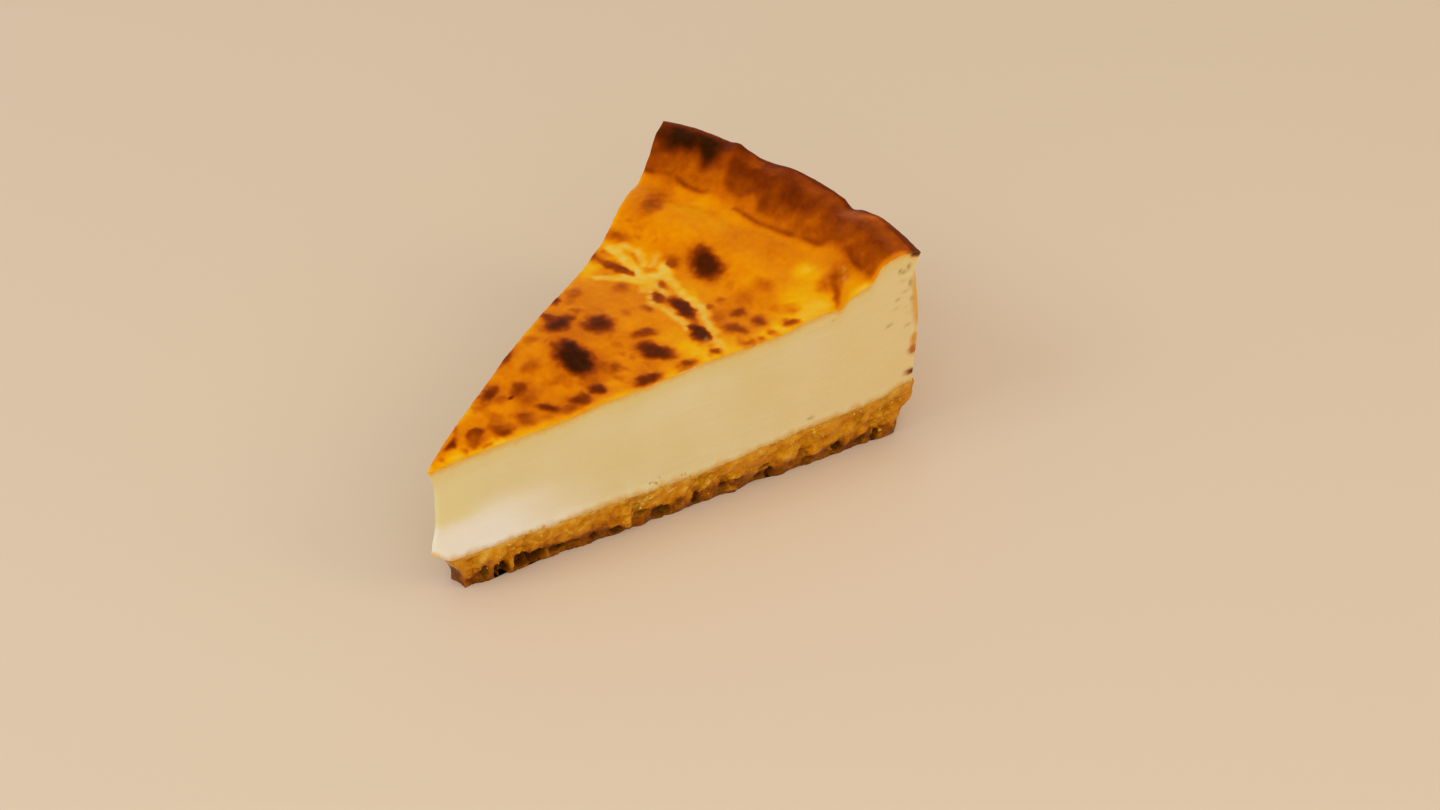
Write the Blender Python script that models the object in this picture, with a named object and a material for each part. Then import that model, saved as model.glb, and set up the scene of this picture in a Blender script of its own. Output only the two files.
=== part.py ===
"""A slice of baked cheesecake: a set cream filling with a browned top, on a pressed biscuit base.

Metres, +Z up. The slice stands on z = 0 with its tip towards -X and its rim towards +X.
The origin is the centre of the slice's bounding box, at the bottom.
"""
import math

import bmesh
import bpy
from mathutils import Vector, noise

MM = 0.001

# Driving dimensions: a tenth of a round cake baked in a 24 cm tin.
SLICE_ANGLE = math.radians(36.2)
CAKE_RADIUS = 121 * MM
LAYER_GAP = 0.3 * MM

# Height of the top skin along each cut: (distance from the tip, height), in mm.
# The skin dips behind the tip, then climbs to the rolled rim that baked against the tin.
RIGHT_CUT_TOP = ((0, 34.9), (12, 36.1), (34, 36.9), (41, 38.0), (56, 38.6), (70, 39.8), (84, 40.1), (95, 42.2),
                 (100, 42.7), (104, 44.5), (109, 46.0), (112, 49.8), (115, 51.0), (121, 50.8))
LEFT_CUT_TOP = ((0, 34.9), (4, 36.1), (14, 37.9), (25, 38.4), (36, 39.6), (49, 40.4), (76, 38.4),
                (86, 39.2), (97, 44.0), (106, 44.7), (112, 47.2), (117, 52.0), (121, 52.9))
# Extra height of the rim's crest between the cuts: (degrees from the middle, height in mm).
RIM_CREST = ((-18.1, 0.3), (-12, 1.3), (-8, 0.3), (-4, 0.5), (1, 0.4), (5, -0.6), (7.4, 0.1), (8.6, 0.9),
             (10, 0.3), (14.6, 0.6), (18.1, 0.2))
CREST_START = 102 * MM
CREST_END = 119 * MM

# Underside of the cream and top of the biscuit: low in the middle, up at the tip and the tin wall.
LAYER_SEAM = ((0, 12.4), (5, 9.4), (30, 9.4), (60, 8.9), (84, 10.0), (98, 11.2), (112, 12.1),
              (118, 13.5), (124, 14.8))

# Radius of the wall that baked against the tin: (height, radius), in mm.
CREAM_WALL = ((13, 122.8), (23, 123.1), (32, 122.9), (41, 121.7), (48, 120.7), (53, 121.1))
BISCUIT_WALL = ((0, 119.4), (3, 119.8), (6, 120.8), (9, 123.4), (11, 124.1), (15, 123.3))

# How far the front edge stands behind the slice's point: (height, distance), in mm.
CREAM_TIP = ((12, 0.3), (15, 0.5), (20, 1.7), (28, 1.8), (33, 0.7), (35, 0.0))
BISCUIT_NOSE = ((0, 7.4), (3.5, 7.0), (6.2, 6.0), (9.5, 4.0))
REACH_OF_TIP = 9.0
REACH_OF_WALL = 14.0

# Relief of the browned top: soft swells, a crease under the rim, a fold at the right cut, a rim notch.
SWELL_HEIGHT = 0.45 * MM
SWELL_WIDTH = 15 * MM
CREASE_RADIUS = 105 * MM
CREASE_WANDER = 2.5 * MM
CREASE_RIPPLES = 9.0
CREASE_DEPTH = 0.9 * MM
CREASE_WIDTH = 2.6 * MM
FOLD_CENTRE = (97.9 * MM, -29.6 * MM)
FOLD_HEADING = math.radians(49)
FOLD_LENGTH = 5.0 * MM
FOLD_WIDTH = 1.8 * MM
FOLD_DEPTH = 1.6 * MM
NOTCH_ANGLE = math.radians(-7.6)
NOTCH_DEPTH = 1.1 * MM
NOTCH_WIDTH = math.radians(1.1)
NOTCH_REACH = 4.0 * MM

# Relief of the walls: a faint sway left by the knife, and the crags of broken biscuit.
SWAY = 0.25 * MM
SWAY_WIDTH = 26 * MM
CRAG_DEPTH = 1.1 * MM
CRAG_WIDTH = 5.0 * MM
UNDERCUT_DEPTH = 1.5 * MM
UNDERCUT_HEIGHT = 2.6 * MM
UNDERCUT_WIDTH = 7.0 * MM

# How finely the solids are divided: rows from tip to rim, and levels from bottom to top.
ROWS = 48
CREAM_LEVELS = 8
BISCUIT_LEVELS = 7


def eased(low, high, value):
    """0 below low, 1 above high, and a smooth step between."""
    part = min(max((value - low) / (high - low), 0.0), 1.0)
    return part * part * (3.0 - 2.0 * part)


def on_curve(points, place):
    """Value at a place on a profile, on a smooth curve through its points that never overshoots."""
    place = min(max(place, points[0][0]), points[-1][0])
    last = len(points) - 2
    step = next(i for i in range(last + 1) if place <= points[i + 1][0] or i == last)
    (x0, y0), (x1, y1) = points[step], points[step + 1]
    slope = (y1 - y0) / (x1 - x0)
    slopes = []
    for near, far in ((step - 1, step), (step + 1, step + 2)):
        if near < 0 or far > last + 1:
            slopes.append(slope)
            continue
        beside = (points[far][1] - points[near][1]) / (points[far][0] - points[near][0])
        slopes.append(0.0 if beside * slope <= 0.0 else 2.0 * beside * slope / (beside + slope))
    t = (place - x0) / (x1 - x0)
    ends = y0 * (1 + 2 * t) * (1 - t) ** 2 + y1 * t * t * (3 - 2 * t)
    return ends + (x1 - x0) * (slopes[0] * t * (1 - t) ** 2 - slopes[1] * t * t * (1 - t))


def along(points, place):
    """The same for a profile in mm, at a place in metres, in metres."""
    return on_curve(points, place / MM) * MM


def bump(distance, width):
    """1 at no distance, falling smoothly to almost 0 at twice the width."""
    return math.exp(-(distance / width) ** 2)


def top_height(radius, side):
    """Height of the browned skin. side runs from -1 at the right cut to 1 at the left cut."""
    angle = side * SLICE_ANGLE / 2
    x, y = radius * math.cos(angle), radius * math.sin(angle)
    share = eased(-1.0, 1.0, side)
    height = (1.0 - share) * along(RIGHT_CUT_TOP, radius) + share * along(LEFT_CUT_TOP, radius)
    height += on_curve(RIM_CREST, math.degrees(angle)) * MM * eased(CREST_START, CREST_END, radius)
    swell = noise.noise(Vector((x / SWELL_WIDTH, y / SWELL_WIDTH, 3.7)))
    height += SWELL_HEIGHT * swell * eased(4 * MM, 20 * MM, radius)
    crease = CREASE_RADIUS + CREASE_WANDER * noise.noise(Vector((CREASE_RIPPLES * angle, 1.3, 8.1)))
    height -= CREASE_DEPTH * bump(radius - crease, CREASE_WIDTH) * eased(-0.8, -0.4, side)
    over, across = x - FOLD_CENTRE[0], y - FOLD_CENTRE[1]
    run = over * math.cos(FOLD_HEADING) + across * math.sin(FOLD_HEADING)
    off = across * math.cos(FOLD_HEADING) - over * math.sin(FOLD_HEADING)
    height -= FOLD_DEPTH * bump(run, FOLD_LENGTH) * bump(off, FOLD_WIDTH)
    notch = bump(angle - NOTCH_ANGLE, NOTCH_WIDTH) * bump(radius - CAKE_RADIUS, NOTCH_REACH)
    return height - NOTCH_DEPTH * notch


def on_slice(share, side, height, tip_profile, wall_profile):
    """Point at a share of the way from the tip to the tin wall, at a height."""
    behind = along(tip_profile, height) * (1.0 - share) ** REACH_OF_TIP
    proud = (along(wall_profile, height) - CAKE_RADIUS) * share ** REACH_OF_WALL
    radius = share * CAKE_RADIUS + behind + proud
    angle = side * SLICE_ANGLE / 2
    return Vector((radius * math.cos(angle), radius * math.sin(angle), height))


def wall_normal(share, side):
    """Level direction out of the slice at a point of its outline, or None inside the outline."""
    facing = Vector()
    for cut in (-1, 1):
        if side == cut or share == 0.0:
            turned = cut * (SLICE_ANGLE / 2 + math.pi / 2)
            facing += Vector((math.cos(turned), math.sin(turned), 0.0))
    if share == 1.0:
        turned = side * SLICE_ANGLE / 2
        facing += Vector((math.cos(turned), math.sin(turned), 0.0))
    return facing.normalized() if facing.length > 0.0 else None


def cream_point(share, side, level):
    """Surface point of the filling, from level 0 on its underside to level 1 on its top."""
    foot = along(LAYER_SEAM, share * CAKE_RADIUS) + LAYER_GAP / 2
    head = top_height(share * CAKE_RADIUS, side)
    point = on_slice(share, side, foot + (head - foot) * level, CREAM_TIP, CREAM_WALL)
    outward = wall_normal(share, side)
    if outward is not None:
        point += outward * SWAY * noise.noise(point / SWAY_WIDTH)
    return point


def biscuit_point(share, side, level):
    """Surface point of the base, from level 0 on its flat foot to level 1 under the filling."""
    nose = BISCUIT_NOSE[-1][1] * MM
    under_cream = max(share * CAKE_RADIUS, nose)
    head = along(LAYER_SEAM, under_cream) - LAYER_GAP / 2
    head -= LAYER_GAP * (1.0 - eased(nose, 3 * nose, under_cream))
    point = on_slice(share, side, head * level, BISCUIT_NOSE, BISCUIT_WALL)
    outward = wall_normal(share, side)
    if outward is not None:
        crag = noise.noise(point / CRAG_WIDTH) + 0.5 * noise.noise(2.3 * point / CRAG_WIDTH)
        hollow = eased(0.0, 0.45, noise.noise(Vector((point.x, point.y, 40 * MM)) / UNDERCUT_WIDTH))
        low = bump(point.z - UNDERCUT_HEIGHT / 2, UNDERCUT_HEIGHT)
        clear_of_seam = 1.0 - eased(0.7, 1.0, level)
        point += outward * clear_of_seam * (CRAG_DEPTH * crag - UNDERCUT_DEPTH * hollow * low)
    return point


def outline_places():
    """Lattice places round the outline: out along the right cut, along the wall, back to the tip."""
    right = [(row, 0) for row in range(ROWS + 1)]
    wall = [(ROWS, place) for place in range(1, ROWS + 1)]
    left = [(row, row) for row in range(ROWS - 1, 0, -1)]
    return right + wall + left


def layer(name, surface_point, levels, flat_foot):
    """One closed solid: a fan of triangles above and below, joined by walls round the outline."""
    bm = bmesh.new()

    def vertex(row, place, level):
        side = 2 * place / row - 1 if row else 0.0
        return bm.verts.new(surface_point(row / ROWS, side, level / levels))

    outline = outline_places()
    top = {(row, place): vertex(row, place, levels) for row in range(ROWS + 1) for place in range(row + 1)}
    if flat_foot:
        bottom = {place: vertex(*place, 0) for place in outline}
    else:
        bottom = {(row, place): vertex(row, place, 0) for row in range(ROWS + 1) for place in range(row + 1)}
    rings = [[bottom[place] for place in outline]]
    rings += [[vertex(*place, level) for place in outline] for level in range(1, levels)]
    rings += [[top[place] for place in outline]]

    top_faces = []
    for row in range(ROWS):
        for place in range(row + 1):
            corners = [((row, place), (row + 1, place), (row + 1, place + 1))]
            if place < row:
                corners.append(((row, place), (row + 1, place + 1), (row, place + 1)))
            for a, b, c in corners:
                top_faces.append(bm.faces.new((top[a], top[b], top[c])))
                if not flat_foot:
                    bm.faces.new((bottom[c], bottom[b], bottom[a]))
    if flat_foot:
        bm.faces.new(reversed(rings[0]))
    for lower, upper in zip(rings, rings[1:]):
        for here in range(len(outline)):
            beside = (here + 1) % len(outline)
            bm.faces.new((lower[here], lower[beside], upper[beside], upper[here]))
    for face in top_faces:
        face.material_index = 1

    mesh = bpy.data.meshes.new(name)
    bm.to_mesh(mesh)
    bm.free()
    mesh.shade_smooth()
    mesh.set_sharp_from_angle(angle=math.radians(35))
    piece = bpy.data.objects.new(name, mesh)
    bpy.context.collection.objects.link(piece)
    return piece


def food_material(name, colour, roughness):
    """A plain, unmetallic finish. colour is linear red, green and blue."""
    material = bpy.data.materials.new(name)
    material.use_nodes = True
    shader = material.node_tree.nodes["Principled BSDF"]
    shader.inputs["Base Color"].default_value = (*colour, 1.0)
    shader.inputs["Roughness"].default_value = roughness
    shader.inputs["Metallic"].default_value = 0.0
    return material


def centre_on_origin(pieces):
    """Moves the meshes so that the middle of their common bounding box stands over the origin."""
    points = [vertex.co for piece in pieces for vertex in piece.data.vertices]
    shift = Vector((0.0, 0.0, 0.0))
    for axis in (0, 1):
        values = [point[axis] for point in points]
        shift[axis] = -(min(values) + max(values)) / 2
    for point in points:
        point += shift


def main():
    for old in list(bpy.data.objects):
        bpy.data.objects.remove(old)
    filling = layer("cheese_filling", cream_point, CREAM_LEVELS, flat_foot=False)
    filling.data.materials.append(food_material("baked_cream", (0.74, 0.56, 0.29), 0.45))
    filling.data.materials.append(food_material("browned_top", (0.62, 0.19, 0.01), 0.4))
    base = layer("biscuit_base", biscuit_point, BISCUIT_LEVELS, flat_foot=True)
    base.data.materials.append(food_material("biscuit_crumb", (0.38, 0.17, 0.03), 0.7))
    base.data.materials.append(food_material("buttered_crumb", (0.42, 0.20, 0.04), 0.6))
    centre_on_origin([filling, base])


main()
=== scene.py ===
"""Looks of a slice of baked cheesecake: browned custard skin, smooth cut cream, crumbly biscuit base.

Sizes are in millimetres, and become metres where a mesh, a light or the camera is made.
"""
import math
import random

import bpy
import numpy as np
from mathutils import Matrix, Vector, noise


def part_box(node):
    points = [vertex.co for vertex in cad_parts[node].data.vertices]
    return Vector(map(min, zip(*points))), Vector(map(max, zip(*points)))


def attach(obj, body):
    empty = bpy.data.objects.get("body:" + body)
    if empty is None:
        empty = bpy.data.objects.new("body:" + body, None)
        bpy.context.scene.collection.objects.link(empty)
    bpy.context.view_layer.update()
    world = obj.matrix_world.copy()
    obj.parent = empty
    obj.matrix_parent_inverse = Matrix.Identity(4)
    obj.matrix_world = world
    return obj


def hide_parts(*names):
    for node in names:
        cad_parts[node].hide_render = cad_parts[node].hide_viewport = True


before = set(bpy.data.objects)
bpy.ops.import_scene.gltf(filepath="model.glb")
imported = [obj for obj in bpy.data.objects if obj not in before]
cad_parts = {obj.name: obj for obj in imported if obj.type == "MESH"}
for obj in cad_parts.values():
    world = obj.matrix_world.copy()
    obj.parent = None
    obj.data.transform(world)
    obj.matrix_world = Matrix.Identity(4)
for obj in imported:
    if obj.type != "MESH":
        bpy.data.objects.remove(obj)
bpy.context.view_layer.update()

MM = 0.001

# The slice, as it is built in the frame: its point, its angle and the radius of the whole cake.
FILLING_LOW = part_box("cheese_filling")[0]
TIP = Vector((FILLING_LOW.x, 0.0, 0.0))
SLICE_ANGLE = math.radians(36.2)
CAKE_RADIUS = 121.0

# Height of the top skin along each cut: (distance from the tip, height).
RIGHT_CUT_TOP = ((0, 34.9), (12, 36.1), (34, 36.9), (41, 38.0), (56, 38.6), (70, 39.8), (84, 40.1),
                 (95, 42.2), (100, 42.7), (104, 44.5), (109, 46.0), (112, 49.8), (115, 51.0), (121, 50.8))
LEFT_CUT_TOP = ((0, 34.9), (4, 36.1), (14, 37.9), (25, 38.4), (36, 39.6), (49, 40.4), (76, 38.4),
                (86, 39.2), (97, 44.0), (106, 44.7), (112, 47.2), (117, 52.0), (121, 52.9))
# Extra height of the rim's crest between the cuts: (degrees from the middle, height).
RIM_CREST = ((-18.1, 0.3), (-12, 1.3), (-8, 0.3), (-4, 0.5), (1, 0.4), (5, -0.6), (7.4, 0.1), (8.6, 0.9),
             (10, 0.3), (14.6, 0.6), (18.1, 0.2))
CREST_START = 102.0
CREST_END = 119.0
RIM_ROUNDING = 0.45

# Where the cream meets the biscuit, and the walls and front edges of both layers.
LAYER_SEAM = ((0, 12.4), (5, 9.4), (30, 9.4), (60, 8.9), (84, 10.0), (98, 11.2), (112, 12.1),
              (118, 13.5), (124, 14.8))
CREAM_WALL = ((13, 122.8), (23, 123.1), (32, 122.9), (41, 121.7), (48, 120.7), (53, 121.1))
BISCUIT_WALL = ((0, 119.4), (3, 119.8), (6, 120.8), (9, 123.4), (11, 124.1), (15, 123.3))
CREAM_TIP = ((12, 0.3), (15, 0.5), (20, 1.7), (28, 1.8), (33, 0.7), (35, 0.0))
BISCUIT_NOSE = ((0, 7.4), (3.5, 7.0), (6.2, 6.0), (9.5, 4.0))
REACH_OF_TIP = 9.0
REACH_OF_WALL = 14.0

# Relief that both layers already have in the frame.
SWELL_HEIGHT = 0.45
SWELL_WIDTH = 15.0
CREASE_RADIUS = 105.0
CREASE_WANDER = 2.5
CREASE_RIPPLES = 9.0
CREASE_DEPTH = 0.9
CREASE_WIDTH = 2.6
FOLD_CENTRE = (97.9, -29.6)
FOLD_HEADING = math.radians(49)
FOLD_LENGTH = 5.0
FOLD_WIDTH = 1.8
FOLD_DEPTH = 1.6
NOTCH_ANGLE = math.radians(-7.6)
NOTCH_DEPTH = 1.1
NOTCH_WIDTH = math.radians(1.1)
NOTCH_REACH = 4.0
SWAY = 0.25
SWAY_WIDTH = 26.0
CRAG_DEPTH = 1.1
CRAG_WIDTH = 5.0
UNDERCUT_DEPTH = 1.5
UNDERCUT_HEIGHT = 2.6
UNDERCUT_WIDTH = 7.0

# Browning runs from 0, bare set cream, through golden and orange, to 1, charred.
SKIN_TONES = ((0.0, "EFD488"), (0.14, "F0BE3C"), (0.28, "EDA800"), (0.42, "E68500"), (0.54, "CE6600"),
              (0.66, "A24500"), (0.78, "7C2C00"), (0.90, "531C00"), (1.0, "301200"))

# Marks of the browned top: (along, across, length, width, heading in degrees, browning, softness).
# Along and across are the mark's centre, from the tip towards the rim and towards the left cut.
TINTED_ZONES = (
    (101.0, 12.5, 15.0, 15.0, 0, 0.38, 1.0), (96.0, 3.0, 12.0, 10.0, 0, 0.45, 1.0),
    (102.0, -6.0, 9.0, 16.0, 0, 0.49, 1.0), (92.0, -9.0, 12.0, 9.0, 0, 0.40, 1.0),
    (94.5, -22.0, 12.0, 8.0, 15, 0.30, 1.0), (100.4, -17.6, 4.8, 4.4, 60, 0.22, 1.0),
    (88.0, -26.5, 14.0, 4.0, -18, 0.29, 1.0), (81.5, 12.5, 14.0, 10.0, 60, 0.38, 1.0),
    (66.0, -14.5, 10.0, 6.5, 70, 0.27, 1.0), (65.0, -9.0, 6.0, 5.0, 0, 0.36, 1.0),
    (102.6, -29.4, 5.0, 2.8, 40, 0.36, 0.9), (79.4, -1.8, 4.4, 3.6, 60, 0.24, 0.9),
    (72.0, 22.0, 5.4, 2.6, 18, 0.24, 0.9), (6.8, -1.0, 7.0, 2.2, -14, 0.32, 0.9),
    (16.2, -4.2, 4.0, 1.8, -18, 0.27, 0.9), (82.0, -11.5, 14.0, 7.0, -10, 0.50, 1.0),
    (76.0, -20.5, 8.0, 7.0, 60, 0.45, 1.0), (30.0, -1.5, 9.0, 6.0, 0, 0.50, 1.0),
    (18.0, 1.5, 8.0, 3.4, 10, 0.47, 1.0), (48.0, 4.0, 20.0, 16.0, 20, 0.49, 1.0),
    (70.5, 9.0, 12.0, 10.0, 0, 0.45, 1.0), (62.0, 12.0, 10.0, 9.0, 0, 0.49, 1.0),
    (45.0, -9.5, 12.0, 2.8, -18, 0.36, 1.0), (41.0, 10.0, 8.0, 5.0, 20, 0.43, 1.0),
    (90.0, 26.5, 5.0, 5.0, 0, 0.44, 1.0), (105.6, -25.6, 6.0, 9.0, 0, 0.57, 1.0),
)
TIP_MARKS = (
    (7.8, 1.4, 3.0, 1.7, 20, 0.82, 0.7), (13.6, -0.1, 3.8, 1.9, -5, 0.88, 0.7),
    (12.4, -1.4, 4.8, 3.6, 30, 0.66, 0.8), (18.5, -2.8, 5.0, 5.4, 70, 0.68, 0.7),
    (18.4, -3.8, 2.6, 2.0, 0, 0.76, 0.9), (19.6, -0.7, 2.6, 2.6, 40, 0.58, 0.9),
    (24.6, -4.2, 5.4, 5.0, 10, 0.64, 0.7), (24.9, -3.2, 2.2, 1.5, 0, 0.72, 0.9),
    (24.0, 6.1, 5.0, 3.0, 18, 0.84, 0.7), (26.7, 2.3, 1.9, 1.2, 0, 0.96, 0.6),
    (29.3, 0.5, 5.6, 5.2, 80, 0.62, 0.7), (29.9, 3.1, 4.8, 2.2, 0, 0.76, 0.8),
    (24.4, 3.4, 3.6, 2.4, 0, 0.62, 0.8), (30.7, -5.2, 4.4, 2.8, -58, 0.84, 0.7),
    (33.3, -8.4, 5.2, 2.2, -15, 0.64, 0.8), (36.9, -8.3, 4.6, 3.2, -50, 0.80, 0.7),
    (41.7, -8.8, 4.0, 3.0, -15, 0.86, 0.7), (36.5, 6.0, 5.0, 3.4, 25, 0.61, 0.8),
    (42.6, 11.9, 4.0, 2.8, 0, 0.59, 0.8), (34.0, 11.1, 6.4, 1.5, 18, 0.76, 0.8),
    (44.9, 0.9, 11.8, 7.6, 74, 0.99, 0.55), (46.8, 4.0, 4.6, 3.4, 60, 0.97, 0.7),
    (51.2, 11.8, 7.6, 4.6, 5, 0.91, 0.65), (51.5, 14.6, 3.4, 3.0, 80, 0.78, 0.8),
    (57.6, 5.5, 6.4, 6.0, 60, 0.88, 0.7), (62.2, -3.3, 5.0, 3.2, -30, 0.73, 0.7),
    (49.5, -6.6, 3.2, 2.8, 30, 0.68, 0.8), (58.9, -9.5, 9.0, 4.8, 100, 0.88, 0.55),
    (51.0, -14.6, 5.8, 3.4, -20, 0.84, 0.6), (59.9, -18.4, 3.8, 2.8, -10, 0.74, 0.8),
    (62.8, 17.8, 5.4, 3.2, 20, 0.61, 0.8), (57.9, 12.6, 3.0, 2.6, 0, 0.61, 0.8),
    (57.2, 18.3, 3.0, 1.3, 18, 0.80, 0.8), (47.5, -4.3, 2.6, 3.6, 0, 0.64, 0.8),
    (43.1, -6.0, 2.8, 2.2, 0, 0.61, 0.9), (37.5, -0.3, 5.0, 2.6, 0, 0.57, 1.0),
    (54.7, -7.2, 2.2, 2.0, 0, 0.54, 0.9), (11.4, 3.2, 3.4, 1.0, 18, 0.60, 0.9),
    (13.8, -4.0, 2.2, 1.3, -18, 0.56, 0.9), (65.5, 4.6, 3.4, 2.6, 0, 0.56, 0.9),
    (51.0, 6.6, 3.0, 2.2, 0, 0.55, 0.9), (21.2, 5.2, 2.6, 1.6, 20, 0.60, 0.9),
)
MIDDLE_MARKS = (
    (77.0, 25.0, 4.4, 3.4, 20, 0.64, 0.8), (77.5, 18.4, 10.0, 2.5, -84, 0.76, 0.7),
    (80.4, 24.2, 2.4, 2.4, 0, 0.55, 0.9), (85.1, 25.8, 6.4, 3.2, 100, 0.63, 0.8),
    (72.4, 12.6, 5.4, 4.0, 0, 0.62, 0.8), (82.6, 16.5, 2.8, 2.6, 60, 0.52, 0.9),
    (82.5, 20.8, 2.0, 3.4, 0, 0.47, 0.9), (81.9, 11.4, 2.0, 3.0, 30, 0.56, 0.9),
    (86.3, 9.3, 4.6, 3.2, 85, 0.68, 0.8), (79.0, 6.1, 3.8, 2.4, 70, 0.64, 0.8),
    (74.6, 3.4, 5.2, 3.2, 72, 0.76, 0.7), (69.8, 2.2, 2.6, 3.4, 0, 0.66, 0.8),
    (89.9, 2.6, 10.8, 5.8, 72, 0.93, 0.6), (75.2, -3.6, 9.8, 4.1, 70, 0.89, 0.55),
    (70.0, -12.8, 7.2, 4.2, 64, 0.90, 0.55), (66.8, -20.2, 3.4, 2.4, 10, 0.70, 0.8),
    (79.3, -7.9, 2.8, 2.2, 90, 0.64, 0.8), (83.2, -7.9, 2.8, 2.2, 80, 0.58, 0.9),
    (81.6, -14.1, 3.8, 3.2, 40, 0.72, 0.7), (76.5, -17.6, 6.0, 3.2, 104, 0.72, 0.7),
    (77.4, -11.8, 5.0, 4.0, 0, 0.58, 1.0), (81.8, -19.7, 3.8, 3.4, 40, 0.73, 0.7),
    (85.5, -26.0, 4.0, 2.6, 98, 0.69, 0.8), (80.8, -24.7, 3.0, 1.8, 90, 0.56, 0.9),
    (74.6, -23.0, 3.4, 2.6, 0, 0.60, 0.9), (77.5, -24.4, 2.2, 1.8, 0, 0.60, 0.9),
    (86.6, -11.3, 5.0, 3.6, 0, 0.56, 1.0), (91.6, -13.2, 4.6, 3.8, 90, 0.57, 0.9),
    (87.5, -19.5, 5.4, 2.4, 100, 0.50, 1.0), (89.0, -23.4, 3.2, 3.0, 0, 0.49, 1.0),
    (98.0, 25.4, 11.5, 4.8, 5, 0.60, 0.9), (95.8, 24.4, 5.4, 4.0, 20, 0.66, 0.9),
    # The next three marks darken the skin along the fold: browning, partly painted shade in the fold.
    (101.3, -25.2, 4.8, 4.0, 40, 0.67, 1.0), (98.6, -28.0, 6.4, 2.0, 50, 0.68, 0.9),
    (98.8, -24.2, 4.6, 3.0, 60, 0.57, 1.0),
)
RIM_MARKS = (
    (106.6, 27.6, 4.2, 2.6, 80, 0.62, 0.9), (113.6, -16.9, 2.8, 2.4, 0, 0.76, 0.8),
    (114.3, -2.2, 5.0, 4.4, 90, 0.82, 0.7), (110.4, -31.0, 5.2, 3.4, 60, 0.76, 0.9),
    (106.7, -31.0, 3.8, 3.0, 60, 0.70, 0.9), (117.6, 11.8, 4.0, 3.4, 90, 0.69, 0.8),
    (109.6, 7.0, 3.6, 3.0, 90, 0.54, 0.9), (116.4, -22.5, 9.0, 2.6, 100, 0.60, 0.9),
)
# Flecks between the large marks: how many, how far from the tip they reach, and where they get fewer.
FLECK_COUNT = 60
FLECK_REACH = 92.0
FEWER_FLECKS_PAST = 62.0

# How the marks' edges wander and fray. Marks darker than a level have a halo, or stand up as blisters.
MARK_WANDER = 0.9
MARK_WANDER_WIDTH = 3.0
MARK_FRAY = 0.45
MARK_FRAY_WIDTH = 1.3
HALO_FROM = 0.7
HALO_REACH = 1.5
HALO_TONE = 0.56
BLISTER_FROM = 0.6
BLISTER_HEIGHT = 0.22

# Browning of the skin between its marks, and how much paler or darker its lines and edges are.
# The widths are those of the uneven patches in it, from the broadest to the finest.
BROAD_WIDTH = 14.0
MIDDLING_WIDTH = 5.0
CLOUD_WIDTH = 3.2
FINE_WIDTH = 1.9
MOTTLE_WIDTH = 1.1
SKIN_TONE = 0.43
RIGHT_STRIP_PALER = 0.13
LEFT_STRIP_PALER = 0.09
RIM_STRIP_PALER = 0.24
RIM_CREASE_DARKER = 0.16
RIM_CREASE_WIDTH = 0.65
RIM_EDGE_TONE = 0.84
WRINKLE_HEIGHT = 0.09
WRINKLE_WIDTH = 3.6
FINE_WRINKLE_HEIGHT = 0.04

# Where the skin folds up into the rim, and where the crown starts: (degrees from the middle, radius).
RIM_LINE = ((-18.1, 109.0), (-15.6, 109.8), (-11.5, 110.6), (-7, 108.7), (-4, 107.9), (0, 106.9),
            (4, 107.4), (8, 108.6), (11.6, 108.3), (14.6, 110.0), (18.1, 109.6))
CROWN_LINE = ((-18.1, 113.5), (-8, 111.6), (0, 110.8), (5, 110.9), (7, 113.6), (9, 114.6), (18.1, 115.0))
# Browning of the rim's inner slope and of its crown: (degrees from the middle, browning).
SLOPE_TONES = ((-18.1, 0.67), (-14, 0.63), (-8, 0.62), (0, 0.60), (5, 0.55), (12, 0.57), (18.1, 0.67))
CROWN_TONES = ((-18.1, 0.72), (-12, 0.71), (-4, 0.75), (0, 0.78), (4, 0.80), (9.3, 0.82), (11.4, 0.95),
               (15.5, 0.97), (18.1, 0.86))
RIM_EDGE_RADIUS = 120.0

# Splits where bare set cream shows between the browned patches: (width, strength, points of the line).
CREAM_SPLITS = (
    (1.7, 1.05, ((81.9, 24.6), (81.3, 20.7), (80.2, 16.4), (78.3, 12.2))),
    (1.1, 0.60, ((82.3, 24.4), (84.0, 22.4), (84.7, 19.4), (84.2, 16.6), (82.0, 14.4))),
    (1.5, 0.95, ((71.8, 19.2), (74.6, 15.7), (78.2, 12.0))),
    (2.2, 1.00, ((78.0, 12.2), (80.2, 10.2), (82.8, 8.8), (84.8, 9.8))),
    (1.6, 0.75, ((82.9, 8.8), (81.2, 4.6), (79.4, 0.4), (78.6, -3.4), (77.4, -7.6), (74.6, -10.6),
                 (72.4, -14.6), (70.8, -17.0), (69.0, -19.8))),
    (1.4, 0.60, ((79.0, 10.6), (77.7, 4.9), (76.9, 2.6))),
    (1.4, 0.60, ((77.0, 8.0), (74.0, 5.0), (72.0, 2.4), (72.2, -2.2), (71.2, -5.8), (70.2, -9.0))),
    (1.4, 0.40, ((83.4, 13.0), (86.0, 14.2))),
    (1.3, 0.55, ((78.3, 12.2), (76.8, 9.4), (74.2, 7.8))),
)
SPLIT_DEPTH = 0.22
# Painted glints, small pale spots of painted highlight: (along, across, length, width, heading in degrees).
PAINTED_GLINTS = (
    (68.7, -16.0, 3.0, 0.9, 40), (102.1, -27.6, 2.6, 0.9, 55), (104.1, -25.8, 1.8, 0.7, 60),
    (49.0, 17.0, 1.8, 1.0, 20),
)
GLINT_STRENGTH = 0.16

# How finely the layers are divided. Their hidden faces are coarser and stay inside the outline.
SKIN_ROWS = 280
CREAM_LEVELS = 52
CRUMB_COLUMNS = 300
CRUMB_LEVELS = 40
HIDDEN_ROWS = 24
HIDDEN_GAP = 0.3
HIDDEN_INSET = 0.05


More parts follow.
